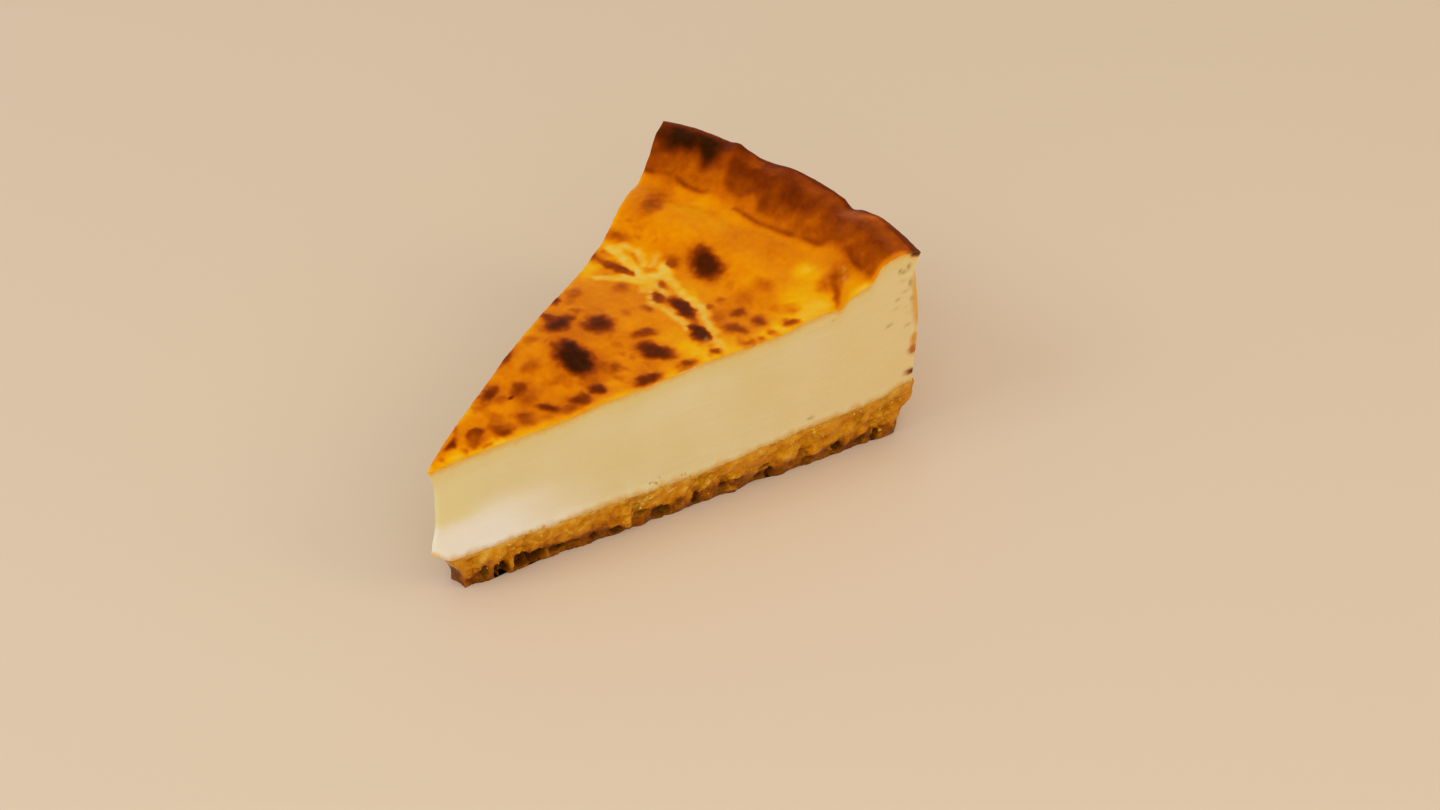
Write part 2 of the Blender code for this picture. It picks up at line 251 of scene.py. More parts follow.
def eased(low, high, value):
    """0 below low, 1 above high, and a smooth step between."""
    part = np.clip((value - low) / (high - low), 0.0, 1.0)
    return part * part * (3.0 - 2.0 * part)


def bump(distance, width):
    """1 at no distance, falling smoothly to almost 0 at twice the width."""
    return np.exp(-(distance / width) ** 2)


def on_curve(points, place):
    """Values at places on a profile, on a smooth curve through its points that never overshoots."""
    xs, ys = np.array(points, float).T
    steps = np.diff(ys) / np.diff(xs)
    slopes = np.concatenate((steps[:1], np.zeros(len(steps) - 1), steps[-1:]))
    before, after = steps[:-1], steps[1:]
    same_way = before * after > 0.0
    slopes[1:-1][same_way] = (2.0 * before * after)[same_way] / (before + after)[same_way]
    place = np.clip(place, xs[0], xs[-1])
    step = np.clip(np.searchsorted(xs, place) - 1, 0, len(steps) - 1)
    gap = xs[step + 1] - xs[step]
    t = (place - xs[step]) / gap
    ends = ys[step] * (1 + 2 * t) * (1 - t) ** 2 + ys[step + 1] * t * t * (3 - 2 * t)
    return ends + gap * (slopes[step] * t * (1 - t) ** 2 - slopes[step + 1] * t * t * (1 - t))


def noise_at(width, *coordinates):
    """Smooth noise from about -1 to 1 at points, whose hills are about width across."""
    grid = np.broadcast_arrays(*coordinates)
    points = np.stack([part.ravel() for part in grid], axis=1) / width
    values = [noise.noise(Vector(point)) for point in points]
    return np.array(values).reshape(grid[0].shape)


def lumps_at(width, *coordinates):
    """Distance inside the edge of a lump, from 0, and the lump's own number, from 0 to 1, at points."""
    grid = np.broadcast_arrays(*coordinates)
    points = np.stack([part.ravel() for part in grid], axis=1) / width
    inside, own = np.empty(len(points)), np.empty(len(points))
    for index, point in enumerate(points):
        distances, centres = noise.voronoi(Vector(point))
        inside[index] = distances[1] - distances[0]
        own[index] = (centres[0].dot(Vector((12.99, 78.23, 37.72))) * 43.76) % 1.0
    return inside.reshape(grid[0].shape) * width, own.reshape(grid[0].shape)


def line_distance(points, x, y):
    """Distance from a line through points."""
    nearest = np.full(np.shape(x), 1e9)
    for (x0, y0), (x1, y1) in zip(points, points[1:]):
        dx, dy = x1 - x0, y1 - y0
        part = np.clip(((x - x0) * dx + (y - y0) * dy) / (dx * dx + dy * dy), 0.0, 1.0)
        nearest = np.minimum(nearest, np.hypot(x - x0 - part * dx, y - y0 - part * dy))
    return nearest


def plan_place(share, side):
    """Place on the top, along from the tip and across to the left, before the walls' own shape."""
    angle = side * SLICE_ANGLE / 2
    return share * CAKE_RADIUS * np.cos(angle), share * CAKE_RADIUS * np.sin(angle)


def plan_noise(width, pattern, x, y):
    """Noise over the top. pattern picks one of many."""
    return noise_at(width, x, y, np.full(np.shape(x), pattern))


def mark_reach(mark, x, y):
    """How far a place is from a mark's centre: 1 at its edge."""
    along, across, length, width, heading = mark[:5]
    turn = math.radians(heading)
    dx, dy = x - along, y - across
    run = dx * math.cos(turn) + dy * math.sin(turn)
    off = dy * math.cos(turn) - dx * math.sin(turn)
    return np.hypot(run / (length / 2), off / (width / 2))


def small_flecks():
    """Small golden-brown flecks between the large marks, most of them on the front half."""
    draw = random.Random(41)
    flecks = []
    while len(flecks) < FLECK_COUNT:
        along = FLECK_REACH * draw.random() ** 0.62
        across = draw.uniform(-0.3, 0.3) * along
        if along > FEWER_FLECKS_PAST and draw.random() < 0.6:
            continue
        size = draw.uniform(0.9, 2.2)
        length = size * draw.uniform(1.0, 1.9)
        flecks.append((along, across, length, size, draw.uniform(0, 180), draw.uniform(0.48, 0.58), 0.95))
    return flecks


def oven_tone(x, y, radius, side):
    """Browning of the skin before its marks: orange, golden along the right cut, brown on the rim."""
    broad, middling = plan_noise(BROAD_WIDTH, 5.0, x, y), plan_noise(MIDDLING_WIDTH, 50.0, x, y)
    fine = plan_noise(FINE_WIDTH, 90.0, x, y)
    front = 1.0 - eased(48, 70, radius)
    tone = SKIN_TONE + 0.03 * front + 0.07 * broad + (0.055 + 0.04 * front) * middling + 0.02 * fine
    for zone in TINTED_ZONES:
        cover = 1.0 - eased(0.0, 1.9, mark_reach(zone, x, y) + 0.35 * middling)
        tone += 0.85 * cover * (zone[5] + 0.03 * middling + 0.02 * fine - tone)
    from_right_cut = (1.0 + side) * radius * SLICE_ANGLE / 2
    from_left_cut = (1.0 - side) * radius * SLICE_ANGLE / 2
    strip = (1.7 + 5.0 * eased(50, 75, radius)) * (1.0 + 0.5 * middling)
    tone -= RIGHT_STRIP_PALER * bump(from_right_cut, strip) * (1.0 - eased(96, 106, radius))
    tone -= LEFT_STRIP_PALER * bump(from_left_cut, 0.7) * eased(-0.3, 0.3, plan_noise(9.0, 77.0, x, y))

    angle = side * math.degrees(SLICE_ANGLE / 2)
    past_line = radius - on_curve(RIM_LINE, angle) + 0.45 * middling
    clouds = plan_noise(CLOUD_WIDTH, 160.0, x, y)
    slope = on_curve(SLOPE_TONES, angle) + 0.06 * broad + 0.05 * clouds + 0.02 * fine
    tone += eased(-2.0, 1.6, past_line) * (slope - tone)
    creased = eased(-0.25, 0.2, plan_noise(6.0, 140.0, x, y) + 0.25 * bump(angle + 3.0, 5.0))
    tone += RIM_CREASE_DARKER * creased * bump(past_line, RIM_CREASE_WIDTH)
    past_crown = radius - on_curve(CROWN_LINE, angle) + 1.4 * middling + 1.2 * clouds
    blend = 3.2 - 1.4 * eased(9.0, 11.5, angle)
    crown = on_curve(CROWN_TONES, angle) + 0.05 * broad + 0.05 * middling + 0.05 * clouds + 0.02 * fine
    crown -= 0.03 * eased(115.5, 118.0, radius) * (1.0 - eased(8.5, 11.0, angle))
    tone += eased(-blend, blend, past_crown) * (crown - tone)
    rim_strip = bump(from_right_cut, 1.3 + 0.7 * middling) * eased(100, 107, radius)
    tone -= RIM_STRIP_PALER * rim_strip * (1.0 - eased(117.0, 119.5, radius))
    rim_edge = eased(RIM_EDGE_RADIUS - 0.9, RIM_EDGE_RADIUS + 0.3, radius + 0.6 * fine)
    return tone + (RIM_EDGE_TONE - tone) * rim_edge


def skin_finish(share, side):
    """Browning, bare cream with painted glints, and fine relief of the top skin."""
    x, y = plan_place(share, side)
    radius = share * CAKE_RADIUS
    tone = oven_tone(x, y, radius, side)
    wander_x, wander_y = (
        MARK_WANDER * plan_noise(MARK_WANDER_WIDTH, pattern, x, y) for pattern in (11.0, 23.0))
    fray_x, fray_y = (MARK_FRAY * plan_noise(MARK_FRAY_WIDTH, pattern, x, y) for pattern in (17.0, 29.0))
    mottle = plan_noise(MOTTLE_WIDTH, 83.0, x, y)
    blister = np.zeros(x.shape)
    for mark in tuple(small_flecks()) + TIP_MARKS + MIDDLE_MARKS + RIM_MARKS:
        darkness, softness = mark[5], mark[6]
        reach = mark_reach(mark, x + wander_x + fray_x, y + wander_y + fray_y)
        cover = 1.0 - eased(1.0 - softness, 1.0 + 0.8 * softness, reach + 0.12 * mottle)
        if darkness > HALO_FROM:
            halo = 1.0 - eased(0.8, HALO_REACH + softness, reach)
            tone += 0.6 * halo * np.maximum(HALO_TONE - tone, 0.0)
        tone += cover * (darkness + 0.035 * mottle - tone)
        if darkness > BLISTER_FROM:
            blister = np.maximum(blister, cover * darkness)

    bare_and_glint = np.zeros(x.shape)
    split_x, split_y = (0.9 * plan_noise(2.6, pattern, x, y) for pattern in (31.0, 37.0))
    broken = 0.58 + 1.2 * plan_noise(FINE_WIDTH, 61.0, x, y) + 0.3 * mottle
    unmarked = 1.0 - eased(0.54, 0.66, tone)
    for width, strength, points in CREAM_SPLITS:
        distance = line_distance(points, x + split_x, y + split_y)
        yellowed = unmarked * (1.0 - eased(0.3 * width, 1.5 * width, distance))
        tone -= 0.75 * strength * yellowed * np.maximum(tone - 0.2, 0.0)
        pale = strength * np.clip(broken, 0.08, 1.0) * (1.0 - eased(0.0, 1.05 * width, distance))
        bare_and_glint = np.maximum(bare_and_glint, pale * unmarked)
    bare_and_glint = np.clip(bare_and_glint, 0.0, 1.0)
    # Painted highlight: pale glint spots are drawn into the bare cream field.
    for glint in PAINTED_GLINTS:
        glint_cover = 1.0 - eased(0.4, 1.5, mark_reach(glint, x + fray_x, y + fray_y))
        bare_and_glint = np.maximum(bare_and_glint, GLINT_STRENGTH * glint_cover)

    wrinkle = WRINKLE_HEIGHT * plan_noise(WRINKLE_WIDTH, 71.0, x, y)
    wrinkle += FINE_WRINKLE_HEIGHT * plan_noise(FINE_WIDTH, 90.0, x, y)
    relief = wrinkle + BLISTER_HEIGHT * blister - SPLIT_DEPTH * bare_and_glint
    return np.clip(tone, 0.0, 1.0), bare_and_glint, relief * eased(0.0, 4.0, radius)


def top_height(share, side):
    """Height of the browned skin, without its blisters and splits."""
    radius = share * CAKE_RADIUS
    angle = side * SLICE_ANGLE / 2
    x, y = plan_place(share, side)
    blend = eased(-1.0, 1.0, side)
    height = (1.0 - blend) * on_curve(RIGHT_CUT_TOP, radius) + blend * on_curve(LEFT_CUT_TOP, radius)
    height = height + on_curve(RIM_CREST, np.degrees(angle)) * eased(CREST_START, CREST_END, radius)
    swell = noise_at(1.0, x / SWELL_WIDTH, y / SWELL_WIDTH, np.full(x.shape, 3.7))
    height += SWELL_HEIGHT * swell * eased(4.0, 20.0, radius)
    wander = noise_at(1.0, CREASE_RIPPLES * angle, np.full(x.shape, 1.3), np.full(x.shape, 8.1))
    crease = CREASE_RADIUS + CREASE_WANDER * wander
    height -= CREASE_DEPTH * bump(radius - crease, CREASE_WIDTH) * eased(-0.8, -0.4, side)
    over, across = x - FOLD_CENTRE[0], y - FOLD_CENTRE[1]
    run = over * math.cos(FOLD_HEADING) + across * math.sin(FOLD_HEADING)
    off = across * math.cos(FOLD_HEADING) - over * math.sin(FOLD_HEADING)
    height -= FOLD_DEPTH * bump(run, FOLD_LENGTH) * bump(off, FOLD_WIDTH)
    notch = bump(angle - NOTCH_ANGLE, NOTCH_WIDTH) * bump(radius - CAKE_RADIUS, NOTCH_REACH)
    past = np.clip((radius - CAKE_RADIUS + RIM_ROUNDING) / RIM_ROUNDING, 0.0, 1.0)
    height -= RIM_ROUNDING * (1.0 - np.sqrt(1.0 - past * past))
    return height - NOTCH_DEPTH * notch


def on_slice(share, side, height, tip_profile, wall_profile):
    """Along, across and up, at a share of the way from the tip to the tin wall, at a height."""
    behind = on_curve(tip_profile, height) * (1.0 - share) ** REACH_OF_TIP
    proud = (on_curve(wall_profile, height) - CAKE_RADIUS) * share ** REACH_OF_WALL
    radius = share * CAKE_RADIUS + behind + proud
    angle = side * SLICE_ANGLE / 2
    return np.stack(np.broadcast_arrays(radius * np.cos(angle), radius * np.sin(angle), height), axis=-1)


def outward(share, side):
    """Level directions out of the slice at points of its outline."""
    facing = np.zeros((len(share), 3))
    for cut in (-1, 1):
        turned = cut * (SLICE_ANGLE / 2 + math.pi / 2)
        here = (side == cut) | (share == 0.0)
        facing[here] += (math.cos(turned), math.sin(turned), 0.0)
    wall = share == 1.0
    angle = side[wall] * SLICE_ANGLE / 2
    facing[wall] += np.stack((np.cos(angle), np.sin(angle), np.zeros(angle.shape)), axis=1)
    return facing / np.linalg.norm(facing, axis=1)[:, None]


class Lattice:
    """A triangular lattice over the slice, whose outline runs from the tip, along the right cut first.

    inset draws it in from the slice's outline, as a share of its size.
    """

    def __init__(self, rows, inset=0.0):
        row = np.repeat(np.arange(rows + 1), np.arange(1, rows + 2))
        place = np.concatenate([np.arange(r + 1) for r in range(rows + 1)])
        self.share = inset + (1.0 - 1.7 * inset) * row / rows
        self.side = np.where(row > 0, 2 * place / np.maximum(row, 1) - 1, 0.0) * (1.0 - inset)
        start = [r * (r + 1) // 2 for r in range(rows + 2)]
        self.faces = []
        for r in range(rows):
            for p in range(r + 1):
                here, below = start[r] + p, start[r + 1] + p
                self.faces.append((here, below, below + 1))
                if p < r:
                    self.faces.append((here, below + 1, here + 1))
        right = [start[r] for r in range(rows + 1)]
        wall = [start[rows] + p for p in range(1, rows + 1)]
        left = [start[r] + r for r in range(rows - 1, 0, -1)]
        self.outline = right + wall + left


def zipped(fine, coarse):
    """Triangles between two closed rings of points, one with more points than the other."""
    faces, i, j = [], 0, 0
    while i < len(fine) or j < len(coarse):
        a, b = fine[i % len(fine)], coarse[j % len(coarse)]
        if j == len(coarse) or (i < len(fine) and (i + 1) / len(fine) <= (j + 1) / len(coarse)):
            i += 1
            faces.append((a, fine[i % len(fine)], b))
        else:
            j += 1
            faces.append((a, coarse[j % len(coarse)], b))
    return faces


def make_piece(name, points, faces, slots, fields):
    """A mesh object from points in mm from the tip, with a material slot for each face and named fields."""
    mesh = bpy.data.meshes.new(name)
    placed = np.asarray(points) * MM + np.array(TIP)
    mesh.from_pydata(placed.tolist(), [], faces)
    mesh.polygons.foreach_set("material_index", np.array(slots, dtype=np.int32))
    for field, values in fields.items():
        attribute = mesh.attributes.new(field, "FLOAT", "POINT")
        attribute.data.foreach_set("value", np.asarray(values, dtype=np.float32))
    mesh.validate()
    mesh.update()
    piece = bpy.data.objects.new(name, mesh)
    bpy.context.scene.collection.objects.link(piece)
    return piece


def wall_faces(rings, columns):
    """Quads round the outline between rings of points, lowest ring first, and their material slots."""
    faces, slots = [], []
    around = len(rings[0])
    for lower, upper in zip(rings, rings[1:]):
        for here in range(around):
            beside = (here + 1) % around
            faces.append((lower[here], lower[beside], upper[beside], upper[here]))
            slots.append(2 if columns <= here < 2 * columns else 1)
    return faces, slots


# The filling: a browned skin on top, smooth cut faces, and the wall that baked against the tin.

# Torn spots of the right cut: (distance from the tip, height, long, tall, depth).
CUT_TEARS = (
    (118.0, 46.0, 2.0, 0.8, 0.5), (119.4, 46.9, 0.9, 1.8, 0.6), (117.0, 46.5, 0.8, 1.0, 0.4),
    (114.2, 32.3, 2.4, 0.5, 0.15), (118.7, 31.0, 1.5, 0.7, 0.2), (94.9, 13.2, 1.9, 0.8, 0.25),
    (99.4, 39.2, 0.9, 0.5, 0.12), (116.8, 36.4, 3.0, 0.5, 0.12), (117.9, 43.6, 1.8, 0.6, 0.25),
    (119.6, 42.2, 1.0, 2.0, 0.35), (118.4, 40.4, 2.2, 0.5, 0.2), (119.8, 38.0, 0.9, 1.4, 0.3),
    (116.2, 38.9, 1.4, 0.4, 0.15), (118.9, 34.4, 1.8, 0.5, 0.2),
)
# Crust of the tin side that shows at the cuts' outer edge: (height, tall, reach from the wall, browning).
EDGE_CRUSTS = (
    (41.5, 8.0, 0.6, 0.46), (37.0, 16.0, 1.3, 0.30), (32.4, 2.6, 1.0, 0.34), (26.4, 4.4, 1.5, 0.38),
    (23.4, 3.2, 2.0, 0.56), (17.0, 2.6, 2.2, 0.76), (50.4, 2.6, 1.8, 0.84),
)
# How far parts of the cut faces and the wall stand out or in, and how wide some of their bands are.
RIM_CORNER_PROUD = 0.6
LIP_PROUD = 0.2
LIP_DEPTH = 0.9
SMEAR_PROUD = 0.2
CRUST_PROUD = 0.12
KNIFE_DRAG = 0.05
SEAM_WAVER = 0.45
SEAM_PROUD = 0.3
CRUMB_STAIN = 1.8
TIN_PITS = 0.1
# Edges of the filling that turn by more than this many degrees stay sharp.
SHARP_EDGE = 65


def seam_height(share, side):
    """Height where the cream meets the biscuit, along the slice's outline, with its fine waver."""
    x, y = plan_place(share, side)
    waver = plan_noise(3.4, 120.0, x, y) + 0.7 * plan_noise(1.3, 130.0, x, y)
    return on_curve(LAYER_SEAM, share * CAKE_RADIUS) + SEAM_WAVER * waver * eased(0.06, 0.12, share)


def edge_crust(z, from_corner, ragged):
    """Cover and browning of the crust patches at a corner of the slice."""
    cover, tone = np.zeros(np.shape(z)), np.full(np.shape(z), 0.4)
    for height, tall, reach, browning in EDGE_CRUSTS:
        off = np.hypot((z - height) / (tall / 2), from_corner / reach) + 0.3 * ragged
        patch = 1.0 - eased(0.5, 1.2, off)
        tone += patch * (browning - tone)
        cover = np.maximum(cover, patch)
    return cover, tone


def cream_rings(share, side, heads, level):
    """Points, fields and crust browning of the filling's walls, one row for each level."""
    foot = seam_height(share, side)
    height = foot + (heads - foot) * level[:, None]
    points = on_slice(share[None, :], side[None, :], height, CREAM_TIP, CREAM_WALL)
    x, y, z = points[..., 0], points[..., 1], points[..., 2]
    cut = np.broadcast_to((np.abs(side) == 1.0) | (share == 0.0), height.shape)
    wall = np.broadcast_to(share == 1.0, height.shape)
    depth = heads - height
    along = np.broadcast_to(share * CAKE_RADIUS, height.shape)
    around = np.broadcast_to(side, height.shape)
    right = around <= 0.0
    above_seam = height - foot

    push = SWAY * noise_at(SWAY_WIDTH, x, y, z) * eased(0.0, 3.0, above_seam)
    ragged = noise_at(1.5, x, y, z * 0.5)
    drag = noise_at(1.0, along / 22.0, z / 1.6, 4.0 * around)
    push += KNIFE_DRAG * drag * cut
    push += LIP_PROUD * (0.8 + 0.7 * ragged) * (1.0 - eased(0.25, LIP_DEPTH, depth))
    # Smeared cream near the tip's foot, proud and painted whiter, partly as painted sheen.
    smear_edge = along + 1.0 * (z - 12.0) + 5.0 * noise_at(9.0, x, y, z)
    smear_and_sheen = right * cut * (1.0 - eased(14.0, 48.0, smear_edge)) * (1.0 - eased(15.0, 24.0, z - 0.1 * along))
    push += SMEAR_PROUD * eased(0.2, 0.7, smear_and_sheen)
    corner_lip = wall * eased(0.4, 1.0, np.abs(around)) * (1.0 - eased(1.5, 6.0, depth))
    push += RIM_CORNER_PROUD * corner_lip
    pit = np.zeros(height.shape)
    for tear_along, tear_height, long, tall, deep in CUT_TEARS:
        reach = np.hypot((along - tear_along) / (long / 2), (z - tear_height) / (tall / 2)) + 0.5 * ragged
        hole = right * cut * bump(reach, 1.0)
        push -= deep * hole
        pit = np.maximum(pit, hole * min(1.0, 0.35 + deep))
    crust, crust_tone = edge_crust(z, CAKE_RADIUS - along, ragged)
    crust = crust * cut * (1.0 - 0.5 * (around > 0))
    push += CRUST_PROUD * crust
    wavering = 0.7 * noise_at(2.4, x, y, z) + 0.3 * noise_at(0.9, x, y, z)
    stain = 1.0 - eased(0.0, CRUMB_STAIN, above_seam + wavering)
    olive = (1.0 - eased(5.0, 15.0, along)) * eased(18.3, 20.6, z + wavering) * (1.0 - eased(26.0, 35.0, z))
    push += SEAM_PROUD * (1.0 - eased(0.0, 2.4, above_seam))
    push -= TIN_PITS * wall * np.abs(noise_at(2.2, x, y, z))
    points += outward(share, side)[None, :, :] * push[..., None]
    fields = {"depth": depth, "along": along, "smear_and_sheen": smear_and_sheen, "olive": olive, "pit": pit, "crust": crust,
              "stain": stain}
    return points, fields, crust_tone


def wall_browning(points, heads_tone, depth, crust_tone, share, side):
    """Browning of the side that baked against the tin: patchy, darker under the rim and at the foot."""
    x, y, z = points[..., 0], points[..., 1], points[..., 2]
    patches = eased(-0.3, 0.6, noise_at(11.0, x, y, 1.5 * z) + 0.45 * noise_at(3.6, x, y, z))
    tone = 0.14 + 0.24 * patches + 0.03 * noise_at(1.6, x, y, z) + 0.1 * eased(34.0, 46.0, z)
    from_corner = (1.0 + side) * SLICE_ANGLE / 2 * CAKE_RADIUS
    crust, corner_tone = edge_crust(z, from_corner / 3.0, noise_at(1.5, x, y, z * 0.5))
    tone += crust * (corner_tone - tone)
    under_rim = 1.0 - eased(0.4, 5.5, depth + 1.6 * noise_at(4.0, x, y, z))
    tone += under_rim * (0.92 * heads_tone - tone)
    tone += 0.22 * (1.0 - eased(15.0, 21.0, z + 2.0 * noise_at(5.0, x, y, z)))
    near_wall = share > 0.96
    on_cut = heads_tone + near_wall * eased(0.6, 1.4, depth) * (crust_tone - heads_tone)
    return np.where(np.broadcast_to(share == 1.0, z.shape), tone, on_cut)


def make_filling():
    """The set cream with its browned skin, one closed mesh."""
    top = Lattice(SKIN_ROWS)
    tone, bare_and_glint, relief = skin_finish(top.share, top.side)
    heads = top_height(top.share, top.side) + relief
    skin = on_slice(top.share, top.side, heads, CREAM_TIP, CREAM_WALL)
    ring_share, ring_side = top.share[top.outline], top.side[top.outline]
    level = 1.0 - (1.0 - np.linspace(0.0, 1.0, CREAM_LEVELS + 1)) ** 1.25
    rings, wall_fields, crust_tone = cream_rings(ring_share, ring_side, heads[top.outline], level)
    skin[top.outline] = rings[-1]

    under = Lattice(HIDDEN_ROWS, HIDDEN_INSET)
    under_height = on_curve(LAYER_SEAM, under.share * CAKE_RADIUS) + HIDDEN_GAP
    underside = on_slice(under.share, under.side, under_height, CREAM_TIP, CREAM_WALL)

    around = len(top.outline)
    below = len(skin)
    points = np.concatenate((skin, rings[:-1].reshape(-1, 3), underside))
    ring_ids = [[below + step * around + k for k in range(around)] for step in range(CREAM_LEVELS)]
    ring_ids.append(list(top.outline))
    hidden = below + CREAM_LEVELS * around
    sides, side_slots = wall_faces(ring_ids, SKIN_ROWS)
    seal = zipped(ring_ids[0], [hidden + k for k in under.outline])
    floor_faces = [(a + hidden, c + hidden, b + hidden) for a, b, c in under.faces]
    faces = list(top.faces) + sides + [face[::-1] for face in seal] + floor_faces
    slots = [0] * len(top.faces) + side_slots + [1] * (len(seal) + len(floor_faces))

    ring_tone = np.broadcast_to(tone[top.outline], rings.shape[:2])
    ring_tone = wall_browning(rings, ring_tone, wall_fields["depth"], crust_tone, ring_share[None, :],
                              ring_side[None, :])
    fields = {"tone": np.concatenate((tone, ring_tone[:-1].ravel(), np.full(len(underside), 0.1)))}
    fields["bare_and_glint"] = np.concatenate((bare_and_glint, np.zeros(len(points) - len(skin))))
    for field, values in wall_fields.items():
        on_top = np.zeros(len(skin))
        on_top[top.outline] = values[-1]
        fields[field] = np.concatenate((on_top, values[:-1].ravel(), np.full(len(underside), values.max())))
    return make_piece("cheese_filling_baked", points, faces, slots, fields)


# The base: pressed crumb bound by butter, broken at the cuts and at the nose.

# Hollows in the right cut of the base: (distance from the tip, height, long, tall, depth).
RIGHT_HOLLOWS = (
    (8.6, 2.4, 2.6, 4.6, 0.9), (12.2, 1.6, 1.3, 4.2, 1.8), (14.2, 1.4, 2.5, 4.8, 2.2),
    (19.6, 2.4, 4.6, 3.6, 2.2), (23.6, 1.9, 5.4, 3.2, 2.4), (29.4, 1.6, 4.0, 1.3, 1.2),
    (38.8, 1.6, 1.9, 2.4, 1.2), (44.4, 1.3, 2.6, 2.1, 1.0), (51.4, 3.3, 2.8, 1.4, 0.7),
    (56.1, 1.7, 3.8, 3.2, 1.9), (65.1, 1.8, 1.8, 3.0, 1.6), (72.5, 2.7, 1.6, 1.2, 0.6),
    (82.2, 1.2, 1.7, 1.4, 0.9), (83.3, 3.8, 3.2, 1.2, 0.8), (84.8, 1.6, 1.4, 4.0, 1.6),
    (94.6, 1.9, 2.6, 1.2, 0.9), (103.4, 1.7, 2.6, 2.8, 1.4), (109.9, 1.5, 2.4, 2.6, 1.5),
    (114.6, 1.7, 1.7, 3.6, 1.4),
)
# Lumps that stand proud of the right cut of the base, in the same way.
RIGHT_LUMPS = (
    (16.6, 2.4, 1.9, 5.4, 1.0), (47.2, 3.0, 4.0, 4.4, 0.8), (26.6, 1.5, 1.7, 2.0, 0.8),
    (99.0, 3.6, 7.0, 3.2, 0.6), (61.0, 1.6, 2.4, 1.8, 0.6), (106.0, 2.2, 2.6, 3.0, 0.6),
    (34.0, 4.0, 8.0, 3.6, 0.5), (90.5, 5.0, 6.0, 4.0, 0.5), (75.5, 4.8, 6.0, 3.0, 0.4),
    (111.0, 4.2, 4.4, 2.4, 0.5), (8.4, 6.4, 4.0, 2.4, 0.5), (13.0, 6.2, 6.0, 3.0, 0.5),
)
# Thin raised ridges on the right cut with painted highlight, as lines of (distance from the tip, height).
PAINTED_GLINT_RIDGES = (
    ((21.5, 7.4), (23.6, 5.9), (25.9, 5.0), (27.2, 5.9), (28.0, 7.3)),
    ((31.0, 7.6), (32.0, 5.8), (33.1, 5.1)), ((34.6, 5.2), (36.2, 5.6), (37.4, 6.6)),
    ((50.9, 6.2), (52.2, 6.6), (53.4, 7.4)), ((58.0, 6.3), (60.2, 6.9)),
    ((66.0, 3.4), (67.4, 4.2), (68.4, 5.6)), ((62.0, 5.4), (62.5, 6.1)), ((49.3, 5.3), (50.0, 5.8)),
    ((17.8, 6.2), (18.4, 6.5)), ((72.0, 5.8), (73.6, 6.8)), ((101.2, 2.4), (103.0, 0.7)),
    ((96.0, 2.8), (98.2, 3.4)),
)
# The share of the frame's crags that is kept, and the finer relief of paste, crumbs and grit.
CRAG_KEPT = 0.55
PASTE_WIDTH = 2.9
PASTE_HEIGHT = 0.5
CRUMB_WIDTH = 1.9
CRUMB_HEIGHT = 0.4
GRIT_WIDTH = 0.75
GRIT_HEIGHT = 0.07
RIDGE_PROUD = 0.15
OTHER_HOLLOWS = 14
# The crumb's shade, from 0, dark caramel, to 1, pale gold; painted shade at its foot and in its gaps and
# hollows.
CRUMB_SHADE = 0.53
FOOT_DARKER = 0.46
GAP_SHADOW = 0.4
DEEPEST_SHADOW = 0.85


def other_hollows():
    """Hollows like the right cut's, for the left cut and the tin side."""
    draw = random.Random(17)
    return [(draw.uniform(8, 118), draw.uniform(0.8, 4.4), draw.uniform(1.4, 6.0), draw.uniform(1.0, 2.8),
             draw.uniform(0.5, 1.8)) for _ in range(OTHER_HOLLOWS)]


